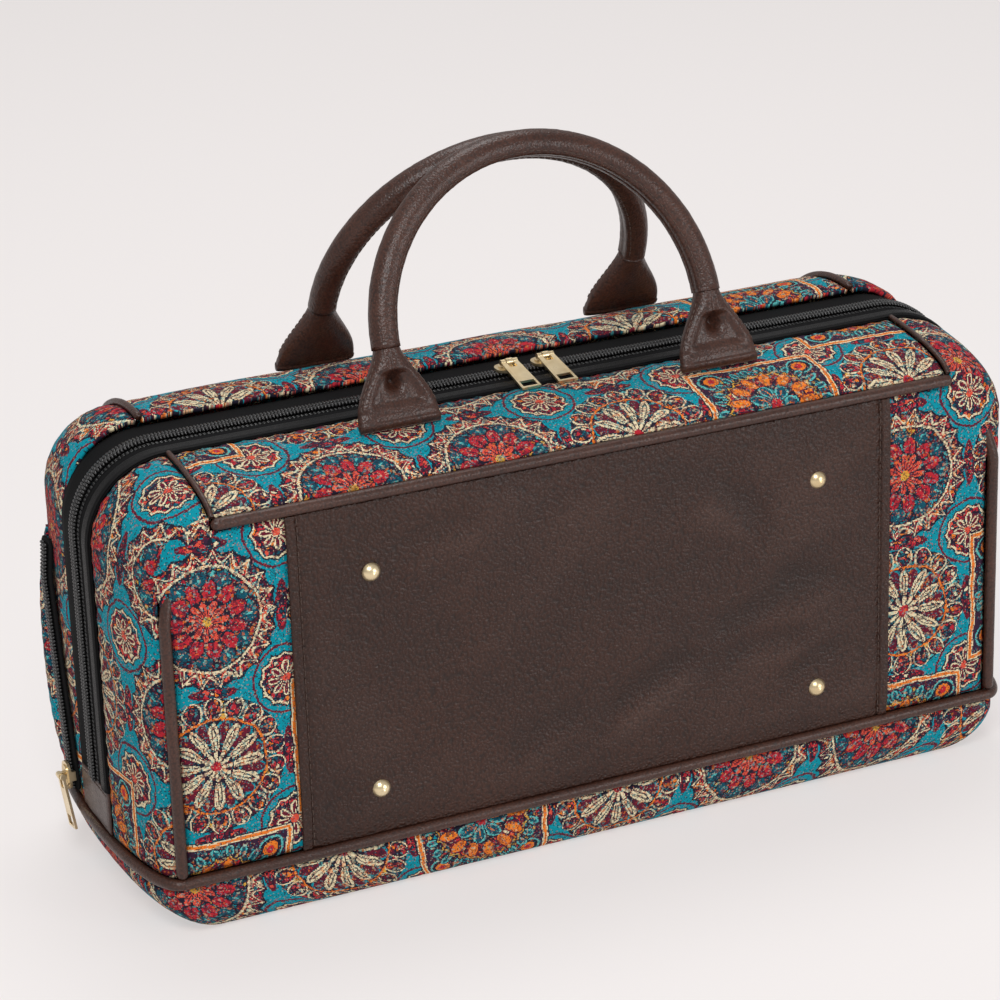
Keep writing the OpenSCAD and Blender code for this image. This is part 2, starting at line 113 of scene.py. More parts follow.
# End pocket
pocket_z = panel_low_z + 4
pocket_y = 33
pocket_l = 136
pocket_slant = radians(10)
pocket_tape_w = 17
pocket_tape_r = 3
pocket_crown = 0.25
pocket_swell = 5
pocket_edge = 1.2
pocket_sink = 2.4
pocket_sink_l = 24

# Handles
handle_r = 91
tube_r = 7.5
tab_y = 42
rear_tab_y = 70
handle_meet = 13
tab_w = 45
tab_h = 36
tab_roll_r = 4.5
handle_gap = 0.8
tab_ridge = 3.2
tab_hollow = 2.5
tab_pit = 8.2
pit_share = 0.55
pit_reach = 0.13
seam_share = 0.13
core_low = 0.71
edge_angle = 0.62
sewn_angle = 0.92
tab_sewn_angle = 0.42
handle_wrinkle = 0.16
tab_wrinkle = 0.1
arch_h = tab_h + handle_r
neck_r = tube_r - 0.5
foot_w = tab_w / 2 - 0.6
foot_t = tab_roll_r - 0.6

# Relief of the cloth: how it dips and puckers along its seams, sags and swells between them
edge_dip = 1.3
edge_reach = 3.2
pucker = 0.35
pucker_pitch = 10
pucker_reach = 9
drape = 0.6
drape_size = 55
field_swell = 2
field_full = 0.6
corner_roll = 6

# Spacing of the points over a panel
panel_step = 3

# Cloth under the leather: it dips at the rim and lies deeper further in
rim_w = 2
rim_dip = 0.4
under_in = 4
under_w = 6
under_dip = 1.6

# Rounded relief, as its height and width. Widths round a handle are angles, widths up a tab are shares
sewn_groove = (0.5, 0.8)
rim_round = (0.3, 1.2)
rim_sag = (1.1, 9)
end_round = (0.9, 0.9)
end_groove = (0.25, 0.5)
band_line = (0.3, 0.07)
roll_flat = (1.1, 0.45)
roll_edge = (0.45, 0.12)
roll_slot = (0.5, 0.07)
tab_crease = (0.8, 1.3)
tab_seam = (0.5, 0.045)


# Shapes that the pieces share

def smooth(t):
    """Smooth step from 0 to 1."""
    t = np.clip(t, 0, 1)
    return t * t * (3 - 2 * t)


def hump(offset, height, width):
    """Rounded hump: its full height at no offset, and gone beyond about two widths."""
    return height * np.exp(-(offset / width) ** 2)


def unit(vectors):
    """Vectors brought to a length of 1."""
    return vectors / np.linalg.norm(vectors, axis=-1, keepdims=True)


def rise_at(y, swell):
    """Height of the outer face above the outline of the panels, at a distance y from the zip."""
    y = np.asarray(y, float)
    base = gusset_rise * np.maximum(0, 1 - (np.abs(y) / half_d) ** bow) ** (1 / bow)
    return base + np.where(y > 0, swell * np.sin(pi * y / half_d), 0)


def face_normal(y, swell):
    """Normal of the outer face, as its share along y and its share upwards."""
    step = 0.05
    slope = (rise_at(y + step, swell) - rise_at(y - step, swell)) / (2 * step)
    size = np.sqrt(1 + slope ** 2)
    return -slope / size, 1 / size


def off_face(y, swell, distance):
    """Place that lies off the outer face by a distance."""
    along, up = face_normal(y, swell)
    return y + distance * along, rise_at(y, swell) + distance * up


def strip_ys(side, count=34):
    """Distances from the zip across a strip, from its piping to the zip."""
    angles = np.linspace(acos(strip_y / half_d), acos(tape_half / half_d), count)
    return side * half_d * np.cos(angles)


def lengths(points):
    """Running length along a row of points."""
    steps = np.linalg.norm(np.diff(points, axis=0), axis=1)
    return np.concatenate([[0], np.cumsum(steps)])


def from_ends(run):
    """Distance to the nearer end of a run."""
    return np.minimum(run, run[-1] - run)


def wander(points, size, seed):
    """Smooth noise at each point, from about -1 to 1, over features of a size."""
    flat = np.reshape(points, (-1, 3)) / size + seed
    return np.reshape([noise.noise(Vector(p)) for p in flat], np.shape(points)[:-1])


def cloth_relief(points, edge, along, seed):
    """How far cloth stands off its face: it dips into its seams, puckers there and sags a little."""
    phase = tau * along / pucker_pitch + 3 * wander(points, 30, seed + 7)
    gathers = pucker * np.exp(-edge / pucker_reach) * np.sin(phase)
    return gathers - hump(edge, edge_dip, edge_reach) + drape * wander(points, drape_size, seed)


def body_ring(tuck, inset, end_count, long_count, z):
    """Closed outline of the base at a height, tucked in by a share and drawn in by a distance."""
    d = half_d - inset - tuck * base_tuck
    l = half_l - inset - tuck * end_tuck
    bulge = 1 - tuck * (1 - floor_bulge)
    ends = -np.cos(np.linspace(0, pi, end_count))
    right = np.stack([l + bulge * rise_at(ends * half_d, 0), ends * d], 1)
    back_x = np.linspace(l, -l, long_count)[1:-1]
    back = np.stack([back_x, np.full_like(back_x, d)], 1)
    ring = np.concatenate([right, back, -right, -back])
    return np.column_stack([ring, np.full(len(ring), z)])


# Mesh building

def quads(rows, cols, closed=False):
    """Faces over a grid of points, which can close on itself across its columns."""
    faces = []
    for i in range(0, (rows - 1) * cols, cols):
        for j in range(cols if closed else cols - 1):
            k = (j + 1) % cols
            faces.append((i + j, i + k, i + cols + k, i + cols + j))
    return faces


def turn_outwards(mesh):
    """Turns the faces so that they look away from the middle of the body, or out of a closed piece."""
    def read(what, width):
        values = np.zeros(len(mesh.polygons) * width)
        mesh.polygons.foreach_get(what, values)
        return values.reshape(-1, width)

    away = read("center", 3) - np.array(body_middle) * MM
    if (read("area", 1) * read("normal", 3) * away).sum() < 0:
        mesh.flip_normals()


def piece(name, points, faces, material, nodes=(), body="bag", uv=None, places=None):
    """New object that rides on a body and stands for nodes of the frame."""
    mesh = bpy.data.meshes.new(name)
    mesh.from_pydata((np.reshape(points, (-1, 3)) * MM).tolist(), [], faces)
    mesh.materials.append(material)
    if uv is not None:
        layer = mesh.uv_layers.new(name="UVMap")
        corners = [k for face in places or faces for k in face]
        layer.data.foreach_set("uv", (np.reshape(uv, (-1, 2))[corners] * MM).ravel())
    mesh.polygons.foreach_set("use_smooth", [True] * len(mesh.polygons))
    turn_outwards(mesh)
    made = bpy.data.objects.new(name, mesh)
    bpy.context.scene.collection.objects.link(made)
    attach(made, body)
    if nodes:
        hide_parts(*nodes)
    return made


def thicken(made, thickness):
    """Gives a sheet its thickness, inwards."""
    solid = made.modifiers.new("thickness", "SOLIDIFY")
    solid.thickness = thickness * MM
    solid.offset = -1


def cloth_sheet(name, points, uv, node, closed=False):
    """Cloth over a grid of points."""
    rows, cols = points.shape[:2]
    made = piece(name, points, quads(rows, cols, closed), cloth, [node], uv=uv,
                 places=quads(rows, cols + closed))
    thicken(made, wall)


def ring_frames(path, closed):
    """Two directions across a path at each of its points, carried along without twist."""
    steps = np.roll(path, -1, 0) - np.roll(path, 1, 0) if closed else np.gradient(path, axis=0)
    tangents = unit(steps)
    upright = abs(tangents[0][2]) > 0.9
    guide = np.array([0, 1, 0] if upright else [0, 0, 1])
    sides = []
    for t in tangents:
        guide = unit(guide - t * (guide @ t))
        sides.append(guide)
    return np.array(sides), np.cross(tangents, sides)


def tube_points(path, radii, sides, closed=False):
    """Rings of points round a path."""
    first, second = ring_frames(path, closed)
    angles = np.linspace(0, tau, sides, endpoint=False)[:, None]
    rings = np.cos(angles) * first[:, None] + np.sin(angles) * second[:, None]
    return path[:, None] + rings * np.reshape(radii, (-1, 1, 1))


def tube_faces(rows, cols, closed=False):
    """Faces round a tube, with its ends shut unless it closes on itself."""
    faces = quads(rows, cols, True)
    last = (rows - 1) * cols
    if closed:
        return faces + [(last + j, last + (j + 1) % cols, (j + 1) % cols, j) for j in range(cols)]
    return faces + [tuple(range(cols)), tuple(range(last, last + cols))]


def round_ended(start, end, radius, spacing):
    """Path and radii of a straight round bar with domed ends."""
    start, end = np.array([start, end], float)
    length = np.linalg.norm(end - start)
    dome = radius * (1 - np.cos(np.linspace(0.12, pi / 2, 6)))
    middle = np.linspace(radius, length - radius, max(2, int(length / spacing)))
    places = np.concatenate([dome[:-1], middle, length - dome[-2::-1]])
    nearest = np.minimum(places, length - places)
    radii = np.sqrt(np.maximum(0, radius ** 2 - np.maximum(0, radius - nearest) ** 2))
    return start + np.outer(places / length, end - start), radii


def copies(shape, origins, axes):
    """Points and faces of many copies of one shape, each with its own place and axes."""
    points, faces = shape
    moved = np.einsum("nij,pj->npi", axes, points) + origins[:, None]
    many = [tuple(k + n * len(points) for k in face) for n in range(len(origins)) for face in faces]
    return moved, many


def capsule(length, radius, sides=6, rings=3):
    """Round-ended rod along X, as points and faces."""
    arc = np.linspace(0.25, pi / 2, rings)
    half = length / 2 - radius + radius * np.cos(arc)
    xs = np.concatenate([-half, half[::-1]])
    radii = radius * np.sin(np.concatenate([arc, arc[::-1]]))
    angles = np.linspace(0, tau, sides, endpoint=False)
    points = [(x, r * cos(a), r * sin(a)) for x, r in zip(xs, radii) for a in angles]
    return np.array(points), tube_faces(len(xs), sides)


def axes_from(first, up):
    """Axes of a small shape, from the way that it points and the way up."""
    return np.stack([first, np.cross(up, first), up], -1)


def at_lengths(row, marks):
    """Places at some lengths along a row of points."""
    run = lengths(row)
    return np.stack([np.interp(marks, run, column) for column in row.T], 1)


def stitches(name, rows, up, body="bag", length=3.0, gap=1.3, radius=0.34):
    """Thread along rows of points, lying on a face that looks along up."""
    origins = []
    axes = []
    for row in np.asarray(rows, float):
        starts = np.arange(gap, lengths(row)[-1] - length, length + gap)
        first, middle, last = (at_lengths(row, starts + share * length) for share in (0, 0.5, 1))
        along = unit(last - first)
        across = unit(np.cross(up, along))
        origins.append(middle)
        axes.append(np.stack([along, across, np.cross(along, across)], 2))
    points, faces = copies(capsule(length, radius), np.concatenate(origins), np.concatenate(axes))
    piece(name, points, faces, thread, body=body)


# Materials

def srgb(red, green, blue):
    """Colour for a shader, from the usual 0 to 255 values."""
    shares = [c / 255 for c in (red, green, blue)]
    return tuple(s / 12.92 if s <= 0.04045 else ((s + 0.055) / 1.055) ** 2.4 for s in shares) + (1.0,)


def join(target, value):
    """Links a field or socket to an input, or sets the input to a constant."""
    source = value.socket if isinstance(value, Field) else value
    if isinstance(source, bpy.types.NodeSocket):
        target.id_data.links.new(source, target)
    else:
        target.default_value = source


def set_inputs(node, values):
    """Links or sets a node's inputs, each by its name or number."""
    for key, value in values.items():
        join(node.inputs[key], value)


def add_node(beside, kind, values):
    """New shader node of a kind in the tree of a socket or node, with its inputs linked or set."""
    node = beside.id_data.nodes.new("ShaderNode" + kind)
    set_inputs(node, values)
    return node


class Field:
    """A number that varies over a surface. Arithmetic on it adds math nodes."""

    def __init__(self, socket):
        self.socket = socket

    def math(self, operation, *others):
        """Result of a math node that takes this field first."""
        node = add_node(self.socket, "Math", dict(enumerate((self, *others))))
        node.operation = operation
        return Field(node.outputs[0])

    __add__ = partialmethod(math, "ADD")
    __sub__ = partialmethod(math, "SUBTRACT")
    __mul__ = partialmethod(math, "MULTIPLY")
    __truediv__ = partialmethod(math, "DIVIDE")
    __lt__ = partialmethod(math, "LESS_THAN")
    __gt__ = partialmethod(math, "GREATER_THAN")
    __and__ = partialmethod(math, "MULTIPLY")
    __or__ = partialmethod(math, "MAXIMUM")
    __abs__ = partialmethod(math, "ABSOLUTE")

    def between(self, low, high):
        """1 where the field lies between two values."""
        return (self > low) & (self < high)


def paint(under, mask, over):
    """Colour over another colour where a mask is 1."""
    node = add_node(mask.socket, "Mix", {0: mask})
    node.data_type = "RGBA"
    set_inputs(node, {6: under, 7: over})
    return node.outputs[2]


def below(under, field, *steps):
    """Colours over another colour, each where a field lies below its limit."""
    for limit, colour in steps:
        under = paint(under, field < limit, colour)
    return under


def blank_material(name, coordinates="Object"):
    """New material, its shader and the place on its surface."""
    made = bpy.data.materials.new(name)
    made.use_nodes = True
    shader = made.node_tree.nodes["Principled BSDF"]
    return made, shader, add_node(shader, "TexCoord", {}).outputs[coordinates]


def parts(socket, kind="SeparateXYZ"):
    """The three parts of a vector or a colour, as fields."""
    return [Field(part) for part in add_node(socket, kind, {0: socket}).outputs]


def pair(first, second):
    """Vector of two fields."""
    return add_node(first.socket, "CombineXYZ", {0: first, 1: second}).outputs[0]


def noise_field(place, scale, detail=2.0, stretch=None):
    """Smooth noise over a surface, with features of about 1 / scale metres."""
    if stretch:
        place = add_node(place, "Mapping", {"Vector": place, "Scale": stretch}).outputs[0]
    node = add_node(place, "TexNoise", {"Vector": place, "Scale": scale, "Detail": detail})
    return Field(node.outputs["Fac"])


def cells(place, scale, feature="F1"):
    """Cell pattern's outputs: the distance to each cell's middle or edge, and a colour of its own."""
    node = add_node(place, "TexVoronoi", {"Vector": place, "Scale": scale})
    node.feature = feature
    return node.outputs


def remap(field, low, high, out_low=0, out_high=1):
    """Field stretched from one range to another, and kept inside it."""
    values = (field, low, high, out_low, out_high)
    return Field(add_node(field.socket, "MapRange", dict(enumerate(values))).outputs[0])


def dress(shader, colour, rough, relief, strength, depth, gloss=0.5):
    """Gives a shader its colour, roughness, gloss and fine relief, whose depth is in millimetres."""
    bump = add_node(shader, "Bump", {"Strength": strength, "Distance": depth * MM, "Height": relief})
    set_inputs(shader, {"Base Color": colour, "Roughness": rough, "Specular IOR Level": gloss,
                        "Normal": bump.outputs["Normal"]})


def leather_material(name, dark, light, grain, depth, rough, gloss):
    """Grained leather: pebbles, fine pores, clouds of tone, uneven gloss, and a painted highlight where the
    relief stands out with painted shade in its creases.
    """
    made, shader, place = blank_material(name)
    clouds = noise_field(place, 18, 4)
    mottle = noise_field(place, 160, 3)
    pores = noise_field(place, 1500)
    pebbles = Field(cells(place, grain, "SMOOTH_F1")["Distance"])
    relief_shading_node = add_node(shader, "Attribute", {})
    relief_shading_node.attribute_name = "relief_shading"
    relief_shading = Field(relief_shading_node.outputs["Fac"])
    colour = paint(dark, remap(clouds + mottle * 0.25, 0.4, 0.9), light)
    # Painted highlight where the leather stands out and painted shade where it sinks into creases
    colour = paint(colour, remap(relief_shading, 0, 1, 0, 0.6), srgb(84, 60, 51))
    colour = paint(colour, remap(relief_shading, -1, 0, 0.5, 0), srgb(28, 15, 10))
    colour = paint(colour, remap(pebbles, 0.25, 0.75, 0, 0.7), srgb(22, 13, 10))
    uneven = clouds * 0.5 + mottle * 0.5 + pebbles * 0.3
    rough = remap(uneven, 0.4, 0.9, rough - 0.08, rough + 0.12)
    dress(shader, colour, rough, pores * 0.3 - pebbles, 1.0, depth, gloss)
    return made


def brass_material(name):
    """Pale satin brass with fine brushing and dulled patches."""
    made, shader, place = blank_material(name)
    brushed = noise_field(place, 500, 3, (1, 0.06, 0.06))
    clouds = noise_field(place, 120)
    tone = paint(srgb(236, 217, 178), remap(clouds, 0.35, 0.7), srgb(216, 193, 150))
    dress(shader, tone, remap(brushed + clouds * 0.5, 0.4, 1.0, 0.24, 0.38), brushed, 0.05, 0.02)
    shader.inputs["Metallic"].default_value = 1.0
    return made


def tape_material(name, tone, pitch, rough):
    """Black woven tape: a fine rib across and fibre noise."""
    made, shader, place = blank_material(name)
    x, y, z = parts(place)
    wave = tau / pitch / MM
    ribs = ((x + z) * wave).math("SINE") * (y * wave).math("SINE")
    fibres = noise_field(place, 1500, 3)
    # Lighter along random fibres, and a painted highlight on the crests of the ribs with painted shade
    # between them
    light = tuple(c * 2 for c in tone[:3]) + (1.0,)
    colour = paint(tone, remap(ribs * 0.3 + fibres, 0.3, 0.9), light)
    rough = remap(fibres, 0.3, 0.7, rough - 0.08, rough + 0.08)
    dress(shader, colour, rough, ribs * 0.5 + fibres, 0.5, 0.12, 0.12)
    return made


def fibre_material(name, dark, light, spread, rough, grain, strength, depth, gloss=0.5):
    """Two tones, roughness and relief that follow one noise: filament, card, cord or thread."""
    made, shader, place = blank_material(name)
    fibres = noise_field(place, *grain)
    tone = paint(dark, remap(fibres, *spread), light)
    dress(shader, tone, remap(fibres, 0.3, 0.7, *rough), fibres, strength, depth, gloss)
    return made


def board_material(name, dark, light):
    """Fibrous card or twisted cord for the pieces inside."""
    return fibre_material(name, dark, light, (0.3, 0.7), (0.7, 0.9), (500, 5, (0.2, 1, 1)), 0.4, 0.2)


# Cloth print: medallions on a square lattice, framed patches, rosettes between them and woven threads

CREAM = srgb(232, 216, 178)
TEAL = srgb(0, 146, 164)
DEEP_TEAL = srgb(14, 82, 100)
RED = srgb(188, 40, 52)
CORAL = srgb(222, 84, 64)
MAROON = srgb(104, 26, 46)
NAVY = srgb(34, 30, 46)
PURPLE = srgb(58, 34, 58)
ORANGE = srgb(236, 126, 40)
GOLD = srgb(216, 166, 66)
TURQUOISE = srgb(92, 186, 184)

# Colours of the small cells, each with the chance at which it starts
WARM_MIX = [(0.0, RED), (0.3, MAROON), (0.5, CORAL), (0.6, DEEP_TEAL), (0.72, PURPLE), (0.84, ORANGE),
            (0.93, CREAM)]
COOL_MIX = [(0.0, DEEP_TEAL), (0.28, TEAL), (0.46, NAVY), (0.62, RED), (0.74, TURQUOISE), (0.86, GOLD),
            (0.93, MAROON)]

# Specks of a few threads, and single stray threads: the chance at which each ends, strength and colour
SPECKS = [(0.15, 0.6, NAVY), (0.21, 0.5, ORANGE), (0.3, 0.55, MAROON), (0.35, 0.45, TURQUOISE),
          (0.38, 0.4, CREAM)]
STRAYS = [(0.12, 0.7, NAVY), (0.15, 0.4, CREAM), (0.2, 0.5, CORAL), (0.25, 0.5, TEAL)]

print_cell = 79 * MM
medallion_share = 0.462
rosette_share = 0.19
thread_pitch = 0.62 * MM
thread_stray = 5 * MM
small_cell = 2.5 * MM
cell_rim = 0.09
speck_size = 1.3 * MM


def length_of(x, y):
    """Distance from the middle of a motif."""
    return (x * x + y * y).math("SQRT")


def petals(r, angle, count, inner, outer, fill, turn=0.0):
    """Below 0 inside a ring of petals between two radii, and above 0 outside."""
    side = abs((angle * (count / tau) + (turn + 100.5)).math("FRACT") - 0.5) * 2
    t = (r - inner) / (outer - inner)
    bow_out = (t * (t * -1 + 1)).math("MAXIMUM", 0.0).math("SQRT") * (2 * fill)
    return side - bow_out


def scallops(r, angle, count, depth):
    """Radius measured to a scalloped edge."""
    return r + abs((angle * (count / 2)).math("SINE")) * depth


def mixed_cells(chance, rim, stops):
    """Small cells, each with a colour of its own from a list and a dark rim."""
    node = add_node(chance.socket, "ValToRGB", {0: chance})
    ramp = node.color_ramp
    ramp.interpolation = "CONSTANT"
    while len(ramp.elements) < len(stops):
        ramp.elements.new(0.5)
    for element, (start, colour) in zip(ramp.elements, stops):
        element.position = start
        element.color = colour
    return paint(node.outputs[0], rim, NAVY)


def sprinkle(under, chance, shares, where=1):
    """Specks over a colour, each as strong as its share says."""
    low = 0
    for high, strength, colour in shares:
        under = paint(under, chance.between(low, high) * strength * where, colour)
        low = high
    return under


def rose_medallion(ground, warm, cool, r, angle):
    """Round medallion with a red flower, teal drops and two scalloped edges."""
    look = below(ground, scallops(r, angle, 22, 0.06), (1.04, NAVY), (1.0, warm))
    teeth = scallops(r, angle, 22, 0.17)
    look = paint(look, teeth.between(0.97, 1.01) | teeth.between(0.89, 0.91), CREAM)
    look = below(look, r, (0.78, CREAM), (0.745, NAVY), (0.72, cool))
    drops = petals(r, angle, 11, 0.5, 0.72, 0.85)
    look = below(look, drops, (0, NAVY), (-0.2, DEEP_TEAL), (-0.75, TURQUOISE))
    flower = petals(r, angle, 11, 0.2, 0.58, 0.95, 0.5)
    look = below(look, flower, (0, NAVY), (-0.16, RED), (-0.8, MAROON), (-1.1, CORAL))
    look = below(look, r, (0.32, NAVY))
    look = below(look, petals(r, angle, 11, 0.02, 0.31, 0.9), (-0.12, CORAL), (-0.7, MAROON))
    return below(look, r, (0.07, GOLD))


def lace_medallion(ground, warm, cool, r, angle):
    """Round medallion with a pointed cream flower on a dark field."""
    look = below(ground, r, (1.0, NAVY), (0.975, cool))
    arches = petals(r, angle, 18, 0.7, 1.02, 0.92, 0.5)
    look = below(look, arches, (0, CREAM), (-0.17, NAVY), (-0.34, warm))
    look = paint(look, r.between(0.7, 0.73), ORANGE)
    look = below(look, r, (0.7, NAVY))
    look = below(look, petals(r, angle, 12, 0.34, 0.7, 0.8, 0.5), (0, TEAL), (-0.25, MAROON))
    flower = petals(r, angle, 12, 0.0, 0.68, 0.78)
    look = below(look, flower, (0, NAVY), (-0.12, CREAM), (-0.42, NAVY), (-0.56, CREAM), (-0.95, warm))
    look = below(look, r, (0.25, NAVY))
    look = below(look, petals(r, angle, 12, 0.0, 0.24, 0.7), (0, CREAM))
    return below(look, r, (0.08, RED))


def framed_patch(ground, warm, cool, x, y, r, angle):
    """Square patch with a double frame round an orange sun."""
    reach = abs(x) | abs(y)
    look = below(ground, reach, (0.485, NAVY), (0.475, CREAM), (0.465, ORANGE), (0.445, CREAM),
                 (0.435, PURPLE))
    corner = length_of(abs(x) - 0.33, abs(y) - 0.33)
    look = below(look, corner, (0.088, TURQUOISE), (0.074, NAVY), (0.05, ORANGE), (0.026, RED))
    look = below(look, r, (0.9, cool))
    rays = petals(r, angle, 26, 0.7, 0.93, 0.8)
    look = below(look, rays, (0, NAVY), (-0.2, TURQUOISE), (-0.5, DEEP_TEAL))
    look = below(look, scallops(r, angle, 26, 0.06), (0.78, NAVY), (0.75, GOLD), (0.72, warm))
    tongues = petals(r, angle, 13, 0.34, 0.7, 0.85)
    look = below(look, tongues, (0, MAROON), (-0.25, ORANGE), (-0.8, GOLD))
    look = below(look, r, (0.4, NAVY))
    flower = petals(r, angle, 7, 0.03, 0.39, 0.9)
    look = below(look, flower, (0, TURQUOISE), (-0.25, DEEP_TEAL), (-0.8, ORANGE))
    return below(look, r, (0.09, RED))


def ground_print(x, y, warm):
    """Teal ground with red drops between the medallions and a rosette at each corner of the lattice."""
    look = TEAL
    for along, across in ((x, y), (y, x)):
        drop = length_of((abs(along) - 0.5) / 0.042, across / 0.17)
        look = below(look, drop, (1.0, MAROON), (0.8, warm))
    corner_x = abs(x) - 0.5
    corner_y = abs(y) - 0.5
    r = length_of(corner_x, corner_y) / rosette_share
    angle = corner_y.math("ARCTAN2", corner_x)
    look = below(look, r, (1.26, MAROON), (1.17, TEAL))
    look = below(look, scallops(r, angle, 12, 0.1), (1.04, NAVY), (0.98, CREAM), (0.91, warm))
    flower = petals(r, angle, 8, 0.05, 0.66, 0.9)
    look = below(look, flower, (0, NAVY), (-0.14, CREAM), (-0.5, MAROON))
    return below(look, r, (0.14, CORAL))


def medallion_print(step_u, step_v):
    """Colour of the print at a place on the cloth."""
    across = step_u / print_cell
    upward = step_v / print_cell
    column = across.math("FLOOR")
    row = upward.math("FLOOR")
    x = across - column - 0.5
    y = upward - row - 0.5
    r = length_of(x, y) / medallion_share
    angle = y.math("ARCTAN2", x)
    kind = (column * 2 + row * 3 + 100).math("FLOORED_MODULO", 5.0)
    # Small cells of mixed colour fill the bands between the drawn lines
    place = pair(step_u, step_v)
    pick = parts(cells(place, 1 / small_cell)["Color"], "SeparateColor")[0]
    rim = Field(cells(place, 1 / small_cell, "DISTANCE_TO_EDGE")["Distance"]) < cell_rim
    warm = mixed_cells(pick, rim, WARM_MIX)
    cool = mixed_cells(pick, rim, COOL_MIX)
    ground = ground_print(x, y, warm)
    look = rose_medallion(ground, warm, cool, r, angle)
    look = paint(look, kind.between(0.5, 2.5), lace_medallion(ground, warm, cool, r, angle))
    look = paint(look, kind > 3.5, framed_patch(ground, warm, cool, x, y, r, angle))
    # Specks break up the fields inside the medallions
    speck = parts(cells(place, 1 / speck_size)["Color"], "SeparateColor")[1]
    return sprinkle(look, speck, SPECKS, r < 0.97)


def cloth_material(name):
    """Woven cloth with a medallion print."""
    made, shader, place = blank_material(name, "UV")
    u, v, _ = parts(place)
    # The weave shows the print in steps of one thread, a little out of line
    thread_u = (u / thread_pitch).math("FLOOR")
    thread_v = (v / thread_pitch).math("FLOOR")
    shift = (noise_field(place, 60) - 0.5) * thread_stray
    look = medallion_print(thread_u * thread_pitch + shift, thread_v * thread_pitch + shift)
    # Single threads of another colour break up the fields
    stray = add_node(shader, "TexWhiteNoise", {"Vector": pair(thread_u, thread_v)})
    stray.noise_dimensions = "2D"
    chance = Field(stray.outputs["Value"])
    look = sprinkle(look, chance, STRAYS)
    # Each thread has its own tone, and painted shade darkens it where it dips under the next one
    over = ((thread_u + thread_v) * 0.5).math("FRACT") > 0.25
    warp = abs((u * (pi / thread_pitch)).math("SINE"))
    weft = abs((v * (pi / thread_pitch)).math("SINE"))
    height = over * warp + (over * -1 + 1) * weft
    tone = remap(height * 0.5 + chance * 0.5, 0.1, 0.9, 0.42, 0.0)
    look = paint(look, tone, srgb(20, 18, 26))
    dress(shader, look, remap(chance, 0, 1, 0.72, 0.9), height, 0.6, 0.2, 0.12)
    return made


cloth = cloth_material("printed_cloth")
panel_leather = leather_material("panel_leather", srgb(45, 22, 13), srgb(60, 33, 22), 700, 0.75, 0.34, 0.32)
trim_leather = leather_material("trim_leather", srgb(56, 30, 21), srgb(76, 46, 35), 900, 0.24, 0.37, 0.42)
brass = brass_material("pale_brass")
zip_tape = tape_material("zip_tape", srgb(9, 9, 10), 0.9, 0.85)
satin = tape_material("satin_band", srgb(10, 10, 11), 0.4, 0.42)
coil = fibre_material("zip_coil", srgb(6, 6, 7), srgb(24, 24, 26), (0.45, 0.8), (0.22, 0.4),
                      (700, 3), 0.2, 0.05, 0.65)
card = board_material("base_card", srgb(112, 88, 60), srgb(150, 122, 88))
cord = board_material("handle_cord", srgb(186, 172, 142), srgb(214, 203, 178))
thread = fibre_material("brown_thread", srgb(48, 33, 27), srgb(84, 64, 54), (0.35, 0.65), (0.4, 0.6),
                        (2600, 2), 0.4, 0.08)


# Cloth

def panel_shape(x, z, side):
    """How far a panel stands out: soft on both sides of the leather in front, one soft field behind."""
    upright = np.clip((z - panel_low_z) / (panel_high_z - panel_low_z), 0, 1)
    if side < 0:
        beside = np.clip((np.abs(x) - leather_w / 2) / (half_l - panel_in - leather_w / 2), 0, 1)
        along = np.sin(pi * beside)
    else:
        along = np.clip(1 - (np.abs(x) / half_l) ** 4, 0, 1)
    return field_swell * along * np.sin(pi * upright) ** field_full


def seam_closes(z):
    """How far the cloth has closed over the upright piping at a height: 0 below, 1 at the top corner."""
    return smooth((z - corner_z + close_length) / close_length)


def panel_patches(step):
    """Grids of x and z that cover a panel: the field, two sides and two corners out to the end strips."""
    corner = np.linspace(0, panel_high_z - corner_z, 8)
    rim = np.append(corner, corner_r + strip_rise)
    low = np.linspace(panel_low_z, corner_z, int((corner_z - panel_low_z) / step))
    zs = np.concatenate([low[:-1], corner_z + corner])
    xs = np.linspace(-seam_x, seam_x, int(2 * seam_x / step))
    patches = [np.stack(np.meshgrid(xs, zs), -1)]
    turns = np.linspace(0, pi / 2, 16)
    for side in (-1, 1):
        side_x, side_z = np.meshgrid(np.append(corner, corner[-1]), low)
        side_x[:, -1] += (rim[-1] - corner[-1]) * seam_closes(low)
        patches.append(np.stack([side * (seam_x + side_x), side_z], -1))
        disc_x = side * (seam_x + np.outer(np.cos(turns), rim))
        disc_z = corner_z + np.outer(np.sin(turns), rim)
        patches.append(np.stack([disc_x, disc_z], -1))
    return patches


def welded(patches):
    """Points and faces of several grids, joined where their points meet and turned one way."""
    points = []
    faces = []
    numbers = {}

    def number(x, z):
        key = (round(x, 2), round(z, 2))
        if key not in numbers:
            numbers[key] = len(points)
            points.append((x, z))
        return numbers[key]

    def winding(face):
        x, z = np.array([points[k] for k in face]).T
        return x @ np.roll(z, -1) - z @ np.roll(x, -1)

    for patch in patches:
        index = [[number(x, z) for x, z in line] for line in patch]
        for a, b in zip(index, index[1:]):
            for k in range(len(a) - 1):
                face = list(dict.fromkeys((a[k], a[k + 1], b[k + 1], b[k])))
                if len(face) > 2:
                    faces.append(face if winding(face) > 0 else face[::-1])
    return np.array(points), faces


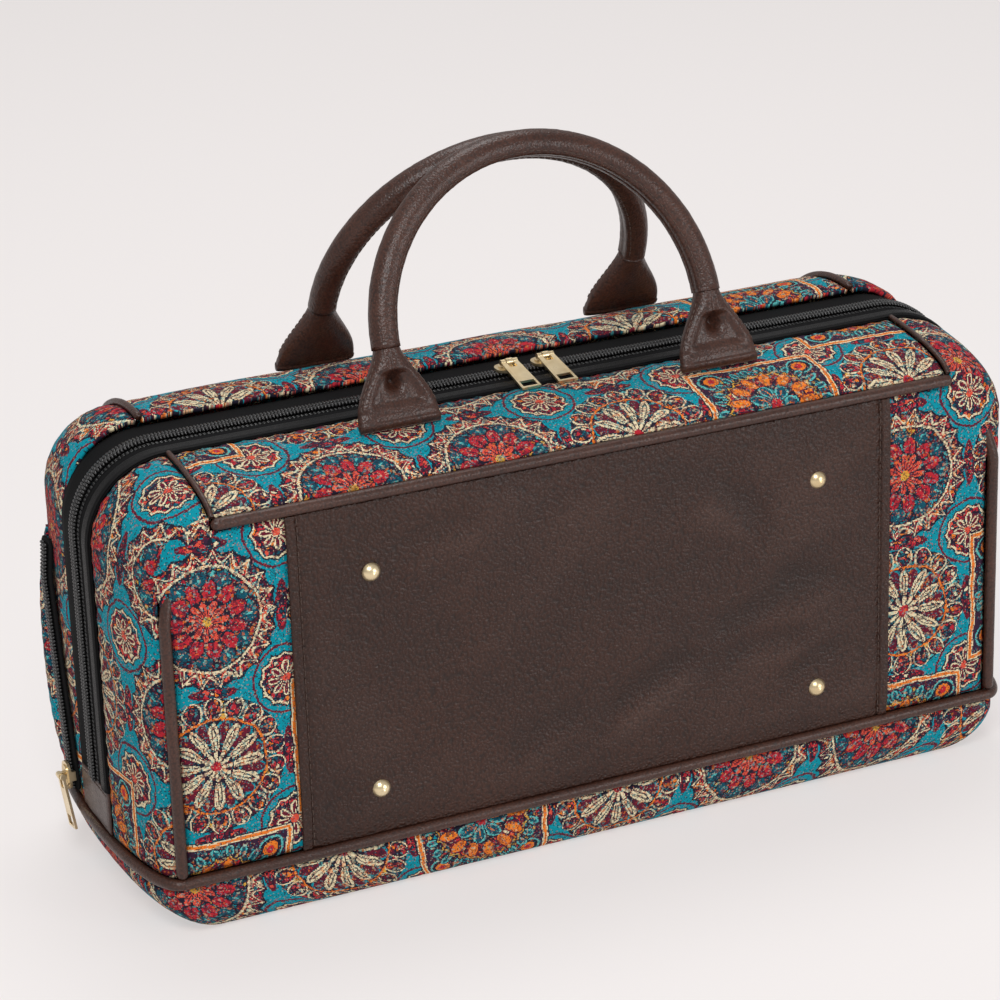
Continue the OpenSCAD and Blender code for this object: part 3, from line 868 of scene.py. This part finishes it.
def cloth_panel(name, side, node, seed):
    """Front or back panel as one welded sheet."""
    flat, faces = welded(panel_patches(panel_step))
    x, z = flat.T
    far = np.abs(x)
    beside = far > seam_x
    points = np.stack([x, np.full_like(x, side * half_d), z], 1)
    edge = np.minimum(np.minimum(z - panel_low_z, panel_high_z - z),
                      half_l - panel_in - far + corner_r * seam_closes(z))
    edge = np.where(beside & (z > corner_z), corner_r, np.maximum(0, edge))
    lift = panel_shape(x, z, side) + cloth_relief(points, edge, x + z, seed)
    if side < 0:
        hidden = smooth((leather_w / 2 + rim_w - far) / rim_w)
        under = smooth((leather_w / 2 - under_in - far) / under_w)
        lift = lift * (1 - hidden) - rim_dip * hidden - under_dip * under
        points[:, 2] = np.where(hidden > 0.5, np.clip(z, panel_low_z + rim_w, panel_high_z - rim_w), z)
    out = np.hypot(far - seam_x, np.maximum(0, z - corner_z))
    roll = smooth((out - corner_r + corner_roll) / (strip_rise + corner_roll)) * beside
    points[:, 1] += side * (lift - (half_d - strip_y) * roll)
    made = piece(name, points, faces, cloth, [node], uv=flat + (seed * 17, seed * 23))
    thicken(made, wall)


def top_strip(name, side, node, seed):
    """Cloth along the top between the corner welts."""
    swell = SWELL[side]
    reach = seam_x - welt_w - 2 * seam_gap
    ys = strip_ys(side)[:, None]
    rise = rise_at(ys, swell)
    run = lengths(np.hstack([ys, rise]))
    x, y = np.meshgrid(np.linspace(-reach, reach, 150), ys)
    points = np.stack([x, y, panel_top_z + rise + 0 * x], -1)
    edge = np.minimum(reach - np.abs(x), from_ends(run)[:, None])
    lift = cloth_relief(points, edge, x, seed)
    along, up = face_normal(ys, swell)
    points[..., 1] += lift * along
    points[..., 2] += lift * up
    uv = np.stack([x + seed * 31, run[:, None] + 0 * x + seed * 13], -1)
    cloth_sheet(name, points, uv, node)


def end_strip(name, end, side, node, seed):
    """Cloth up one end and round its top corner."""
    low = np.linspace(panel_low_z, corner_z, 54)
    turns = np.linspace(0, 1, 22)[1:]
    z = np.append(low, np.full_like(turns, corner_z))[:, None]
    turn = np.append(np.zeros_like(low), turns)[:, None]
    path = np.append(low, corner_z + turns * (pi / 2) * (corner_r + 10)) - panel_low_z
    ys = strip_ys(side)
    run = lengths(np.stack([ys, rise_at(ys, 0)], 1))
    swell = SWELL[side] * smooth(turn)
    lean = turn * pi / 2
    reach = corner_r + rise_at(ys, swell)
    along, up = face_normal(ys, swell)
    flat = np.stack([end * (seam_x + reach * np.cos(lean)), ys + 0 * reach, z + reach * np.sin(lean)], -1)
    normals = np.stack([end * up * np.cos(lean), along, up * np.sin(lean)], -1)
    edges = np.minimum(from_ends(path)[:, None], from_ends(run))
    lift = cloth_relief(flat, edges, path[:, None] + 0 * run, seed)
    uv = np.stack(np.broadcast_arrays(run + seed * 29, path[:, None] + seed * 19), -1)
    cloth_sheet(name, flat + normals * lift[..., None], uv, node)


def base_cloth():
    """Cloth base: a soft wall below the base seam and a flat floor."""
    turns = np.linspace(0, pi / 2, 16)
    rows = [(1 - cos(a), 0, tray_top_z * (1 - sin(a))) for a in turns]
    rows += [(1, inset, 0) for inset in np.linspace(0, half_d - base_tuck - 0.5, 8)[1:]]
    points = np.array([body_ring(tuck, inset, 40, 120, z) for tuck, inset, z in rows])
    profile = lengths(np.array([(base_tuck * tuck + inset, z) for tuck, inset, z in rows]))
    run = lengths(np.append(points[0], points[0][:1], 0))
    walls = points[:len(turns)]
    along = np.roll(walls, -1, 1) - np.roll(walls, 1, 1)
    outward = unit(np.stack([along[..., 1], -along[..., 0], 0 * along[..., 0]], -1))
    edge, around = np.broadcast_arrays(profile[:len(turns), None], run[:-1])
    lift = cloth_relief(walls, edge, around, 5)
    walls += outward * (lift * np.cos(turns)[:, None])[..., None]
    uv = np.stack(np.broadcast_arrays(run, -profile[:, None] + 40), -1)
    cloth_sheet("cloth_base", points, uv, "base_tray", closed=True)


def pocket_cloth():
    """Swollen cloth of the end pocket, between its zip and the back of the left end."""
    tape_edge = (pocket_tape_w / 2 + 2 * seam_gap) / cos(pocket_slant)
    u, v = np.meshgrid(np.linspace(0, 1, 30), np.linspace(0, 1, 50))
    z = pocket_z + pocket_l * cos(pocket_slant) * v
    front = pocket_y + tape_edge + (z - pocket_z) * tan(pocket_slant)
    y = front + (strip_y - 8 - front) * u
    ease = (1 - np.abs(2 * u - 1) ** 3) * (1 - np.abs(2 * v - 1) ** 3)
    x = -(half_l + rise_at(y, 0) + seam_gap + pocket_edge + pocket_swell * ease)
    points = np.stack([x, y, z], -1)
    edge = 20 * np.minimum(np.minimum(u, 1 - u), np.minimum(v, 1 - v))
    points[..., 0] -= cloth_relief(points, edge, z + y, 9) + edge_dip
    cloth_sheet("cloth_pocket", points, np.stack([y, z], -1), "pocket_panel")


def make_cloth():
    """All the printed cloth."""
    cloth_panel("cloth_front", -1, "front_panel", 1)
    cloth_panel("cloth_back", 1, "back_panel", 2)
    for seed, (name, side) in enumerate(SIDES.items(), 3):
        top_strip(f"cloth_top_{name}", side, f"top_strip_{name}", seed)
    seed = 10
    for end_name, end in ENDS.items():
        for name, side in SIDES.items():
            node = f"{end_name}_end_{name}"
            end_strip(f"cloth_{node}", end, side, node, seed)
            seed += 1
    base_cloth()
    pocket_cloth()


# Leather

# Soft creases in the front leather: x and z of both ends, depth and width
creases = [
    (-10, 66, 62, 104, 1.3, 7),
    (48, 104, 138, 124, 1.5, 8),
    (62, 92, 128, 96, 1.0, 6),
    (92, 132, 150, 122, 1.2, 7),
    (60, 196, 98, 158, 1.2, 8),
    (100, 66, 150, 88, 0.9, 6),
    (-120, 190, -60, 204, 0.9, 8),
    (-60, 60, -8, 84, 0.9, 7),
]
crease_bow = 4
crease_fade = 0.3
crease_ridge = 0.5
ridge_off = 1.8


def crease_relief(x, z):
    """Depth of the creases at each place on the front leather, each with a low ridge beside it."""
    depth = np.zeros_like(x)
    for x0, z0, x1, z1, deep, width in creases:
        size = hypot(x1 - x0, z1 - z0)
        share = ((x - x0) * (x1 - x0) + (z - z0) * (z1 - z0)) / size ** 2
        off = ((x - x0) * (z1 - z0) - (z - z0) * (x1 - x0)) / size + crease_bow * np.sin(pi * share)
        fade = smooth(share / crease_fade) * smooth((1 - share) / crease_fade)
        depth += fade * (hump(off, deep, width) - hump(off - ridge_off * width, crease_ridge * deep, width))
    return depth


def front_leather():
    """Leather panel with folded side edges, soft creases and rounded rims."""
    half_w = leather_w / 2
    rim = np.concatenate([np.linspace(0, 1, 6), np.linspace(1.5, fold_w + 2, 14)])
    field = np.linspace(-half_w + fold_w + 4, half_w - fold_w - 4, 130)
    xs = np.concatenate([-half_w + rim, field, half_w - rim[::-1]])
    low_rim = panel_low_z + np.linspace(0, 3, 5)
    high_rim = panel_high_z - np.linspace(3, 0, 5)
    zs = np.concatenate([low_rim[:-1], np.linspace(low_rim[-1], high_rim[0], 76), high_rim[1:]])
    x, z = np.meshgrid(xs, zs)
    from_side = half_w - np.abs(x)
    from_rim = np.minimum(z - panel_low_z, panel_high_z - z)
    fold = fold_t * smooth((fold_w + fold_slope - from_side) / fold_slope)
    round_side = side_round * (1 - np.sqrt(1 - (1 - np.clip(from_side, 0, 1)) ** 2))
    groove = hump(from_side - fold_w - sewn_in, *sewn_groove)
    round_rim = hump(from_rim, *rim_round) + hump(from_rim, *rim_sag)
    flat = np.stack([x, 0 * x - half_d, z], -1)
    slanted = np.stack([0.4 * x + 0.2 * z, 0 * x, z - 0.45 * x], -1)
    soft = 0.4 * wander(flat, 80, 3) + 0.6 * wander(slanted, 24, 8)
    soft *= smooth(from_side / 20) * smooth(from_rim / 14)
    folds = crease_relief(x, z)
    flat[..., 1] -= leather_t + fold - round_side - groove - round_rim + soft - folds
    made = piece("leather_front", flat, quads(*x.shape), panel_leather, ["front_leather"])
    # Painted light and shade for the leather: lighter where the relief stands out, darker in the creases
    relief_shading_layer = made.data.attributes.new("relief_shading", "FLOAT", "POINT")
    relief_shading_layer.data.foreach_set("value", np.clip(0.7 * (soft - folds), -1, 1).ravel())
    thicken(made, leather_t - fold_t)
    rows = []
    for side in (-1, 1):
        row_x = side * (half_w - fold_w - sewn_in)
        row_zs = np.linspace(panel_low_z + 1, panel_high_z - 1, 40)
        rows.append([(row_x, -half_d - leather_t + 0.3, row_z) for row_z in row_zs])
    stitches("stitches_front", rows, (0, -1, 0))


def piping_piece(name, path, radii, node, seed, uneven=piping_uneven, sides=piping_sides, closed=False):
    """Leather piping or a welt along a path, with a slightly uneven thickness."""
    points = tube_points(path, radii, sides, closed)
    middle = path[:, None]
    points = middle + (points - middle) * (1 + uneven * wander(points, 7, seed))[..., None]
    piece(name, points, tube_faces(len(path), sides, closed), trim_leather, [node])


def straight_piping(name, start, end, node, seed, dive=(0, 0, 0)):
    """Piping with domed ends. Its far end can dive into the seam."""
    path, radii = round_ended(start, end, piping_r, 2.5)
    run = lengths(path)
    path += np.outer(smooth((run - run[-1] + dive_length) / dive_length), dive)
    piping_piece(name, path, radii, node, seed)


def make_piping():
    """Piping along the panels' seams and round the base, and the welts in the top corners."""
    top_z = panel_top_z + piping_out
    top_x = seam_x - seam_gap
    for seed, (name, side) in zip((20, 22), SIDES.items()):
        y = side * half_d
        start = (-top_x, y, top_z)
        straight_piping(f"piping_{name}_top", start, (top_x, y, top_z), f"{name}_top_piping", seed)
        for end_name, end in ENDS.items():
            seed += 1
            x = end * (half_l + piping_out)
            dive = (-end * dive_depth, -side * dive_depth, 0)
            straight_piping(f"piping_{name}_{end_name}", (x, y, panel_low_z), (x, y, corner_z - seam_gap),
                            f"{name}_{end_name}_piping", seed, dive)
    ring = body_ring(0, 0, 60, 190, base_h)
    piping_piece("piping_base", ring, piping_r, "base_piping", 40, closed=True)
    for name, side in SIDES.items():
        for end_name, end in ENDS.items():
            y, rise = off_face(strip_ys(side, 40), SWELL[side], 0.1)
            x = end * (seam_x - seam_gap - welt_w / 2)
            path = np.stack([np.full_like(y, x), y, panel_top_z + rise], 1)
            piping_piece(f"welt_{name}_{end_name}", path, welt_r[side], f"{name}_{end_name}_welt", 0, 0, 12)


def zip_end_piece(name, end, node):
    """Leather piece that closes the slot below the zip, with rounded rims and a sewn edge."""
    half_w = tape_half - seam_gap
    high_z = panel_low_z + zip_end_h
    u, z = np.meshgrid(np.linspace(-1, 1, 50), np.linspace(panel_low_z, high_z, 34))
    y = half_w * np.sign(u) * np.abs(u) ** 0.8
    from_edge = np.minimum(half_w - np.abs(y), np.minimum(z - panel_low_z, high_z - z))
    flat = np.stack([0 * y, y, z], -1)
    stand = gusset_rise - hump(from_edge, *end_round) + 0.25 * wander(flat, 12, 50)
    stand -= hump(from_edge - zip_end_sewn, *end_groove)
    flat[..., 0] = end * (half_l + stand)
    thicken(piece(name, flat, quads(*y.shape), trim_leather, [node]), leather_t)
    row_x = end * (half_l + gusset_rise - 0.1)
    row = [(row_x, row_y, high_z - zip_end_sewn) for row_y in np.linspace(-half_w + 2, half_w - 2, 20)]
    stitches(name + "_stitches", [row], (end, 0, 0), length=2.4, gap=1.0)


# Zip

def zip_path(rise, spacing):
    """Places along the zip at a height above the panels' outline, evenly spaced: x, z and the normal."""
    straight = corner_z - zip_low_z
    radius = corner_r + rise
    bend = radius * pi / 2
    total = 2 * (straight + bend + seam_x)
    s = np.linspace(0, total, int(total / spacing) + 1)
    end = np.where(s < total / 2, -1, 1)
    s = np.minimum(s, total - s)
    turn = np.clip((s - straight) / bend, 0, 1) * pi / 2
    on_top = np.maximum(0, s - straight - bend)
    x = end * (seam_x - on_top + radius * np.cos(turn))
    z = zip_low_z + np.minimum(s, straight) + radius * np.sin(turn)
    return np.stack([x, z, end * np.cos(turn), np.sin(turn)], 1)


def zip_rows(path, y):
    """Places along the zip at a distance y from its middle, and the way up at each."""
    x, z, up_x, up_z = path.T
    return np.stack([x, 0 * x + y, z], 1), np.stack([up_x, 0 * x, up_z], 1)


def zip_sweep(name, profile, material, node, spacing=5):
    """Profile of y and height, swept along the zip."""
    path = zip_path(tape_top, spacing)
    x, z, up_x, up_z = path.T[..., None]
    y, rise = np.transpose(profile)
    off = rise - tape_top
    points = np.stack(np.broadcast_arrays(x + up_x * off, y, z + up_z * off), -1)
    piece(name, points, tube_faces(len(path), len(profile)), material, [node])


def tape_profile(side):
    """Closed profile of one thin tape."""
    ys = np.linspace(*sorted((side * chain_gap, side * (tape_half - seam_gap))), 6)
    return [(y, tape_top) for y in ys] + [(y, tape_top - tape_t) for y in ys[::-1]]


def band_profile():
    """Rounded profile of the smooth band, with a sunk line near each edge."""
    outer = tape_half - 2 * seam_gap
    low = tape_top + chain_gap
    share = np.linspace(-1, 1, 25)
    crown = band_h * (1 - np.abs(share) ** 4) ** 0.5 - hump(np.abs(share) - 0.8, *band_line)
    ys = band_w / 2 * (1 + share) - outer
    return [*zip(ys, low + crown), (band_w - outer - 0.2, low), (0.2 - outer, low)]


def tooth_shape():
    """One turn of the coil: a rounded loop from the tape to the middle of the chain."""
    points, faces = capsule(tooth_l, tooth_r, 8, 4)
    points = points * (1, 1, tooth_tall)
    points[:, 2] += tooth_arch * (1 - (2 * points[:, 0] / tooth_l) ** 2)
    return points, faces


def make_zip():
    """Tapes, band and coil of the main zip."""
    for name, side in SIDES.items():
        zip_sweep(f"zip_tape_{name}_woven", tape_profile(side), zip_tape, f"zip_tape_{name}")
    zip_sweep("zip_band_satin", band_profile(), satin, "zip_band", 4)
    path = zip_path(tape_top + tooth_rise, tooth_pitch)
    for name, side in SIDES.items():
        places = path if side < 0 else (path[1:] + path[:-1]) / 2
        origins, up = zip_rows(places, side * tooth_y)
        across = np.tile([0, side, 0], (len(up), 1))
        points, faces = copies(tooth_shape(), origins, axes_from(across, up))
        piece(f"zip_coil_{name}", points, faces, coil, [f"zip_chain_{name}"])


def zip_stitching():
    """Rows of thread on both sides of the coil, where it is sewn to the tapes."""
    path = zip_path(tape_top + 0.15, 2.3)
    origins = [zip_rows(path, y)[0] for y in sewn_rows]
    up = zip_rows(path, 0)[1]
    axes = np.tile(axes_from(np.cross([0, 1, 0], up), up), (len(sewn_rows), 1, 1))
    points, faces = copies(capsule(1.8, 0.5, 6, 2), np.concatenate(origins), axes)
    piece("zip_stitches", points, faces, coil)


def pocket_frame(places):
    """Places in the pocket zip's own frame, moved to the bag: along the zip, across it and off it."""
    base_x = -(half_l + float(rise_at(pocket_y - pocket_tape_w / 2 - 1, 0)) + seam_gap) - tape_t
    along, across, off = np.moveaxis(np.asarray(places, float), -1, 0)
    off = off - pocket_sink * smooth((along - pocket_l + pocket_sink_l) / pocket_sink_l)
    y = pocket_y + along * sin(pocket_slant) + across * cos(pocket_slant)
    z = pocket_z + along * cos(pocket_slant) - across * sin(pocket_slant)
    return np.stack([base_x - off, y, z], -1)


def make_pocket_zip():
    """Tape and coil of the end pocket's zip."""
    along = np.linspace(0, pocket_l, 60)
    short = np.maximum(0, pocket_tape_r - from_ends(along))
    reach = pocket_tape_w / 2 - pocket_tape_r + np.sqrt(np.maximum(0, pocket_tape_r ** 2 - short ** 2))
    share = np.linspace(-1, 1, 9)
    off = np.append(pocket_crown * (1 - share ** 2), np.full_like(share, -tape_t))
    across = np.outer(reach, np.append(share, share[::-1]))
    points = pocket_frame(np.stack(np.broadcast_arrays(along[:, None], across, off), -1))
    piece("pocket_tape_woven", points, tube_faces(*across.shape), zip_tape, ["pocket_tape"])
    runs = np.arange(tooth_pitch, pocket_l - tooth_pitch, tooth_pitch)
    up = np.array([-1, 0, 0])
    places = []
    axes = []
    for side in (-1, 1):
        places += [(a + side * tooth_pitch / 4, side * tooth_y, tooth_rise) for a in runs]
        out = side * np.array([0, cos(pocket_slant), -sin(pocket_slant)])
        axes += [axes_from(out, up)] * len(runs)
    points, faces = copies(tooth_shape(), pocket_frame(places), np.array(axes))
    piece("pocket_coil", points, faces, coil, ["pocket_chain"])


# Handles

def handle_place(side):
    """Change from a handle's own frame to the bag's, by where its tabs are sewn and how it leans."""
    sewn_y = rear_tab_y if side > 0 else -tab_y
    y, rise = (float(v) for v in off_face(sewn_y, SWELL[side], tab_roll_r + seam_gap))
    turn = asin((y - handle_meet - side * (tube_r + handle_gap / 2)) / arch_h)

    def place(points):
        x, own_y, own_z = np.moveaxis(np.asarray(points, float), -1, 0)
        return np.stack([x, y + own_y * cos(turn) - own_z * sin(turn),
                         panel_top_z + rise + own_y * sin(turn) + own_z * cos(turn)], -1)

    return place


def rolled_section(count):
    """Angles and radii round the rolled leather: pressed flat on its inner side, with two raised edges."""
    angles = np.linspace(0, tau, count, endpoint=False)
    off = np.abs(angles - pi)
    flat = hump(off, *roll_flat)
    edges = hump(off - edge_angle, *roll_edge)
    slot = hump(off, *roll_slot)
    return angles, tube_r - flat + edges - slot


def ring_point(turn, angle, reach):
    """Place on a handle's half ring: a turn along it, an angle round it and a reach off its middle."""
    out = handle_r + reach * np.cos(angle)
    return np.stack([out * np.cos(turn), reach * np.sin(angle) + 0 * turn, tab_h + out * np.sin(turn)], -1)


def handle_cover(name, side, node, body):
    """Rolled leather of one handle: a half ring with a sewn seam along its inner side."""
    place = handle_place(side)
    angles, radii = rolled_section(44)
    turn, angle = np.meshgrid(np.linspace(0, pi, 150), angles, indexing="ij")
    middle = ring_point(turn, angle, 0)
    wrinkles = np.stack([2 * middle[..., 0], 4 * np.sin(angle), 2 * middle[..., 2]], -1)
    own = ring_point(turn, angle, radii + handle_wrinkle * wander(wrinkles, 6, side * 3 + 60))
    piece(name, place(own), tube_faces(*turn.shape), trim_leather, [node], body)
    turns = np.linspace(0.03, pi - 0.03, 130)
    rows = [place(ring_point(turns, pi + seam, tube_r + 0.05)) for seam in (-sewn_angle, sewn_angle)]
    stitches(name + "_stitches", rows, (0.0, 1.0, 0.2), body, length=2.6, gap=1.2, radius=0.3)


def tab_point(t, angle, lift=0.0):
    """Place on a tab, at a share t of its height and an angle round it, with its outer face towards -Y."""
    half_w = neck_r + (foot_w - neck_r) * np.cos(t * pi / 2) ** 1.4
    half_t = foot_t + (neck_r - foot_t) * np.sin(t * pi / 2)
    full = 2 + 1.6 * (1 - t) ** 2
    c = np.cos(angle)
    s = np.sin(angle)
    size = (np.abs(c) ** full + np.abs(s) ** full) ** (-1 / full)
    x = (half_w + lift) * c * size
    # The fold: a wide hollow, a deep pit below the cord's end and a crease up to the neck
    below_cord = smooth((core_low - t) / 0.09)
    reach = smooth((t - 0.12) / 0.15) * smooth((0.9 - t) / 0.2)
    hollow = tab_hollow * below_cord * reach * smooth((half_w - tab_ridge - np.abs(x)) / 6)
    pit_w = 2.2 + 7 * np.clip(core_low - t, 0, 1)
    pit = below_cord * hump(x, tab_pit, pit_w) * hump(t - pit_share, 1, pit_reach)
    crease = hump(x, *tab_crease) * smooth((t - 0.58) / 0.1) * smooth((0.97 - t) / 0.1)
    seam = hump(t - seam_share, *tab_seam)
    y = (half_t + lift) * s * size + (hollow + pit + crease + seam) * (s < 0)
    return np.stack([x, y, tab_h * t + 0 * x], -1)


def handle_tab(name, side, end, node, body):
    """Flared tab under one leg: round at the neck, folded deep in the middle, rolled at the sewn edge."""
    place = handle_place(side)
    angles = np.linspace(0, tau, 112, endpoint=False)
    upper = tab_point(np.linspace(0, 1, 60)[:, None], angles)
    roll = []
    for drop in np.linspace(1, 0.1, 6):
        width = 1.02 * (0.97 + 0.03 * sqrt(1 - drop ** 2))
        thickness = tab_roll_r * sqrt(1 - (drop * 0.995) ** 2) / foot_t
        roll.append(upper[0] * (width, thickness, 0) - (0, 0, tab_roll_r * drop))
    own = np.concatenate([np.array(roll), upper])
    own[..., 0] += tab_wrinkle * wander(own + (end * 40, side * 40, 0), 5, 70)
    shift = (end * handle_r, 0, 0)
    flip = (1, -side, 1)
    piece(name, place(own * flip + shift), tube_faces(len(own), len(angles)), trim_leather,
          [node], body)
    levels = np.linspace(0.16, 0.86, 40)
    rows = [tab_point(levels, np.full_like(levels, start), 0.05)
            for start in (pi + tab_sewn_angle, tau - tab_sewn_angle)]
    stitches(name + "_stitches", [place(row * flip + shift) for row in rows], (0, side, 0.25), body,
             length=2.4, gap=1.1, radius=0.3)


def make_handles():
    """Both handles with their tabs and stitching."""
    for name, side in SIDES.items():
        body = f"{name}_handle"
        handle_cover(f"{name}_rolled_handle", side, f"{name}_handle_cover", body)
        for end_name, end in ENDS.items():
            node = f"{name}_{end_name}_tab"
            handle_tab(f"{node}_leather", side, end, node, body)


# Fittings that keep their own solids

def finish_nodes():
    """Materials and softened edges for the nodes that show as they are."""
    finishes = {
        brass: ["left_slider", "left_pull", "right_slider", "right_pull", "pocket_slider", "pocket_pull",
                "studs", "stud_washers"],
        card: ["base_board"],
        cord: ["front_handle_core", "rear_handle_core"],
    }
    for material, names in finishes.items():
        for name in names:
            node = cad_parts[name]
            node.data.materials.clear()
            node.data.materials.append(material)
            edge = node.modifiers.new("soft_edges", "BEVEL")
            edge.width = 0.25 * MM
            edge.segments = 2
            edge.limit_method = "ANGLE"
            edge.harden_normals = True


# Stage

def make_stage():
    """Pale floor, soft studio lights and their plain surroundings."""
    floor = bpy.data.meshes.new("floor")
    reach = 6.0
    floor.from_pydata([(-reach, -reach, 0), (reach, -reach, 0), (reach, reach, 0), (-reach, reach, 0)],
                      [], [(0, 1, 2, 3)])
    made, shader, place = blank_material("pale_floor")
    tone = paint(srgb(158, 155, 154), noise_field(place, 1.5), srgb(156, 153, 152))
    set_inputs(shader, {"Base Color": tone, "Emission Color": srgb(239, 234, 233),
                        "Emission Strength": 0.61, "Roughness": 0.9, "Specular IOR Level": 0.1})
    floor.materials.append(made)
    ground = bpy.data.objects.new("floor", floor)
    bpy.context.scene.collection.objects.link(ground)
    world = bpy.data.worlds.new("studio")
    bpy.context.scene.world = world
    world.use_nodes = True
    set_inputs(world.node_tree.nodes["Background"], {"Color": (1.0, 0.985, 0.98, 1.0), "Strength": 0.5})
    # Place, aim, size and power of each soft light
    lights = [
        ("key", (-0.9, -1.6, 1.9), (0, 0, 0.1), 0.9, 30),
        ("fill", (1.2, -2.0, 0.55), (0, 0, 0.12), 0.9, 14),
        ("top", (0.2, 0.7, 2.2), (0, 0, 0.2), 1.2, 18),
    ]
    for name, place, aim, size, power in lights:
        lamp = bpy.data.lights.new(name, "AREA")
        lamp.shape = "DISK"
        lamp.size = size
        lamp.energy = power
        made = bpy.data.objects.new(name, lamp)
        made.location = place
        made.rotation_euler = (Vector(aim) - Vector(place)).to_track_quat("-Z", "Y").to_euler()
        bpy.context.scene.collection.objects.link(made)


def make_camera():
    """Long lens, left of the front and above it, with the photograph's small tilt."""
    azimuth = radians(24.0)
    height = radians(22.0)
    roll = radians(-1.9)
    distance = 1847.7 * MM
    target = Vector((-20.0, -4.5, 172.1)) * MM
    back = Vector((-sin(azimuth) * cos(height), -cos(azimuth) * cos(height), sin(height)))
    right = Vector((cos(azimuth), -sin(azimuth), 0))
    up = back.cross(right)
    tilted_right = right * cos(roll) + up * sin(roll)
    tilted_up = up * cos(roll) - right * sin(roll)
    lens = bpy.data.cameras.new("camera")
    lens.sensor_width = 36
    lens.lens = 125.7
    lens.clip_end = 50
    camera = bpy.data.objects.new("camera", lens)
    turn = Matrix((tilted_right, tilted_up, back)).transposed().to_4x4()
    camera.matrix_world = Matrix.Translation(target + back * distance) @ turn
    bpy.context.scene.collection.objects.link(camera)
    bpy.context.scene.camera = camera
    bpy.context.scene.view_settings.view_transform = "Standard"


make_stage()
make_camera()
make_cloth()
front_leather()
make_piping()
for name, end in ENDS.items():
    zip_end_piece(f"zip_end_{name}", end, f"{name}_zip_end")
make_zip()
zip_stitching()
make_pocket_zip()
make_handles()
finish_nodes()
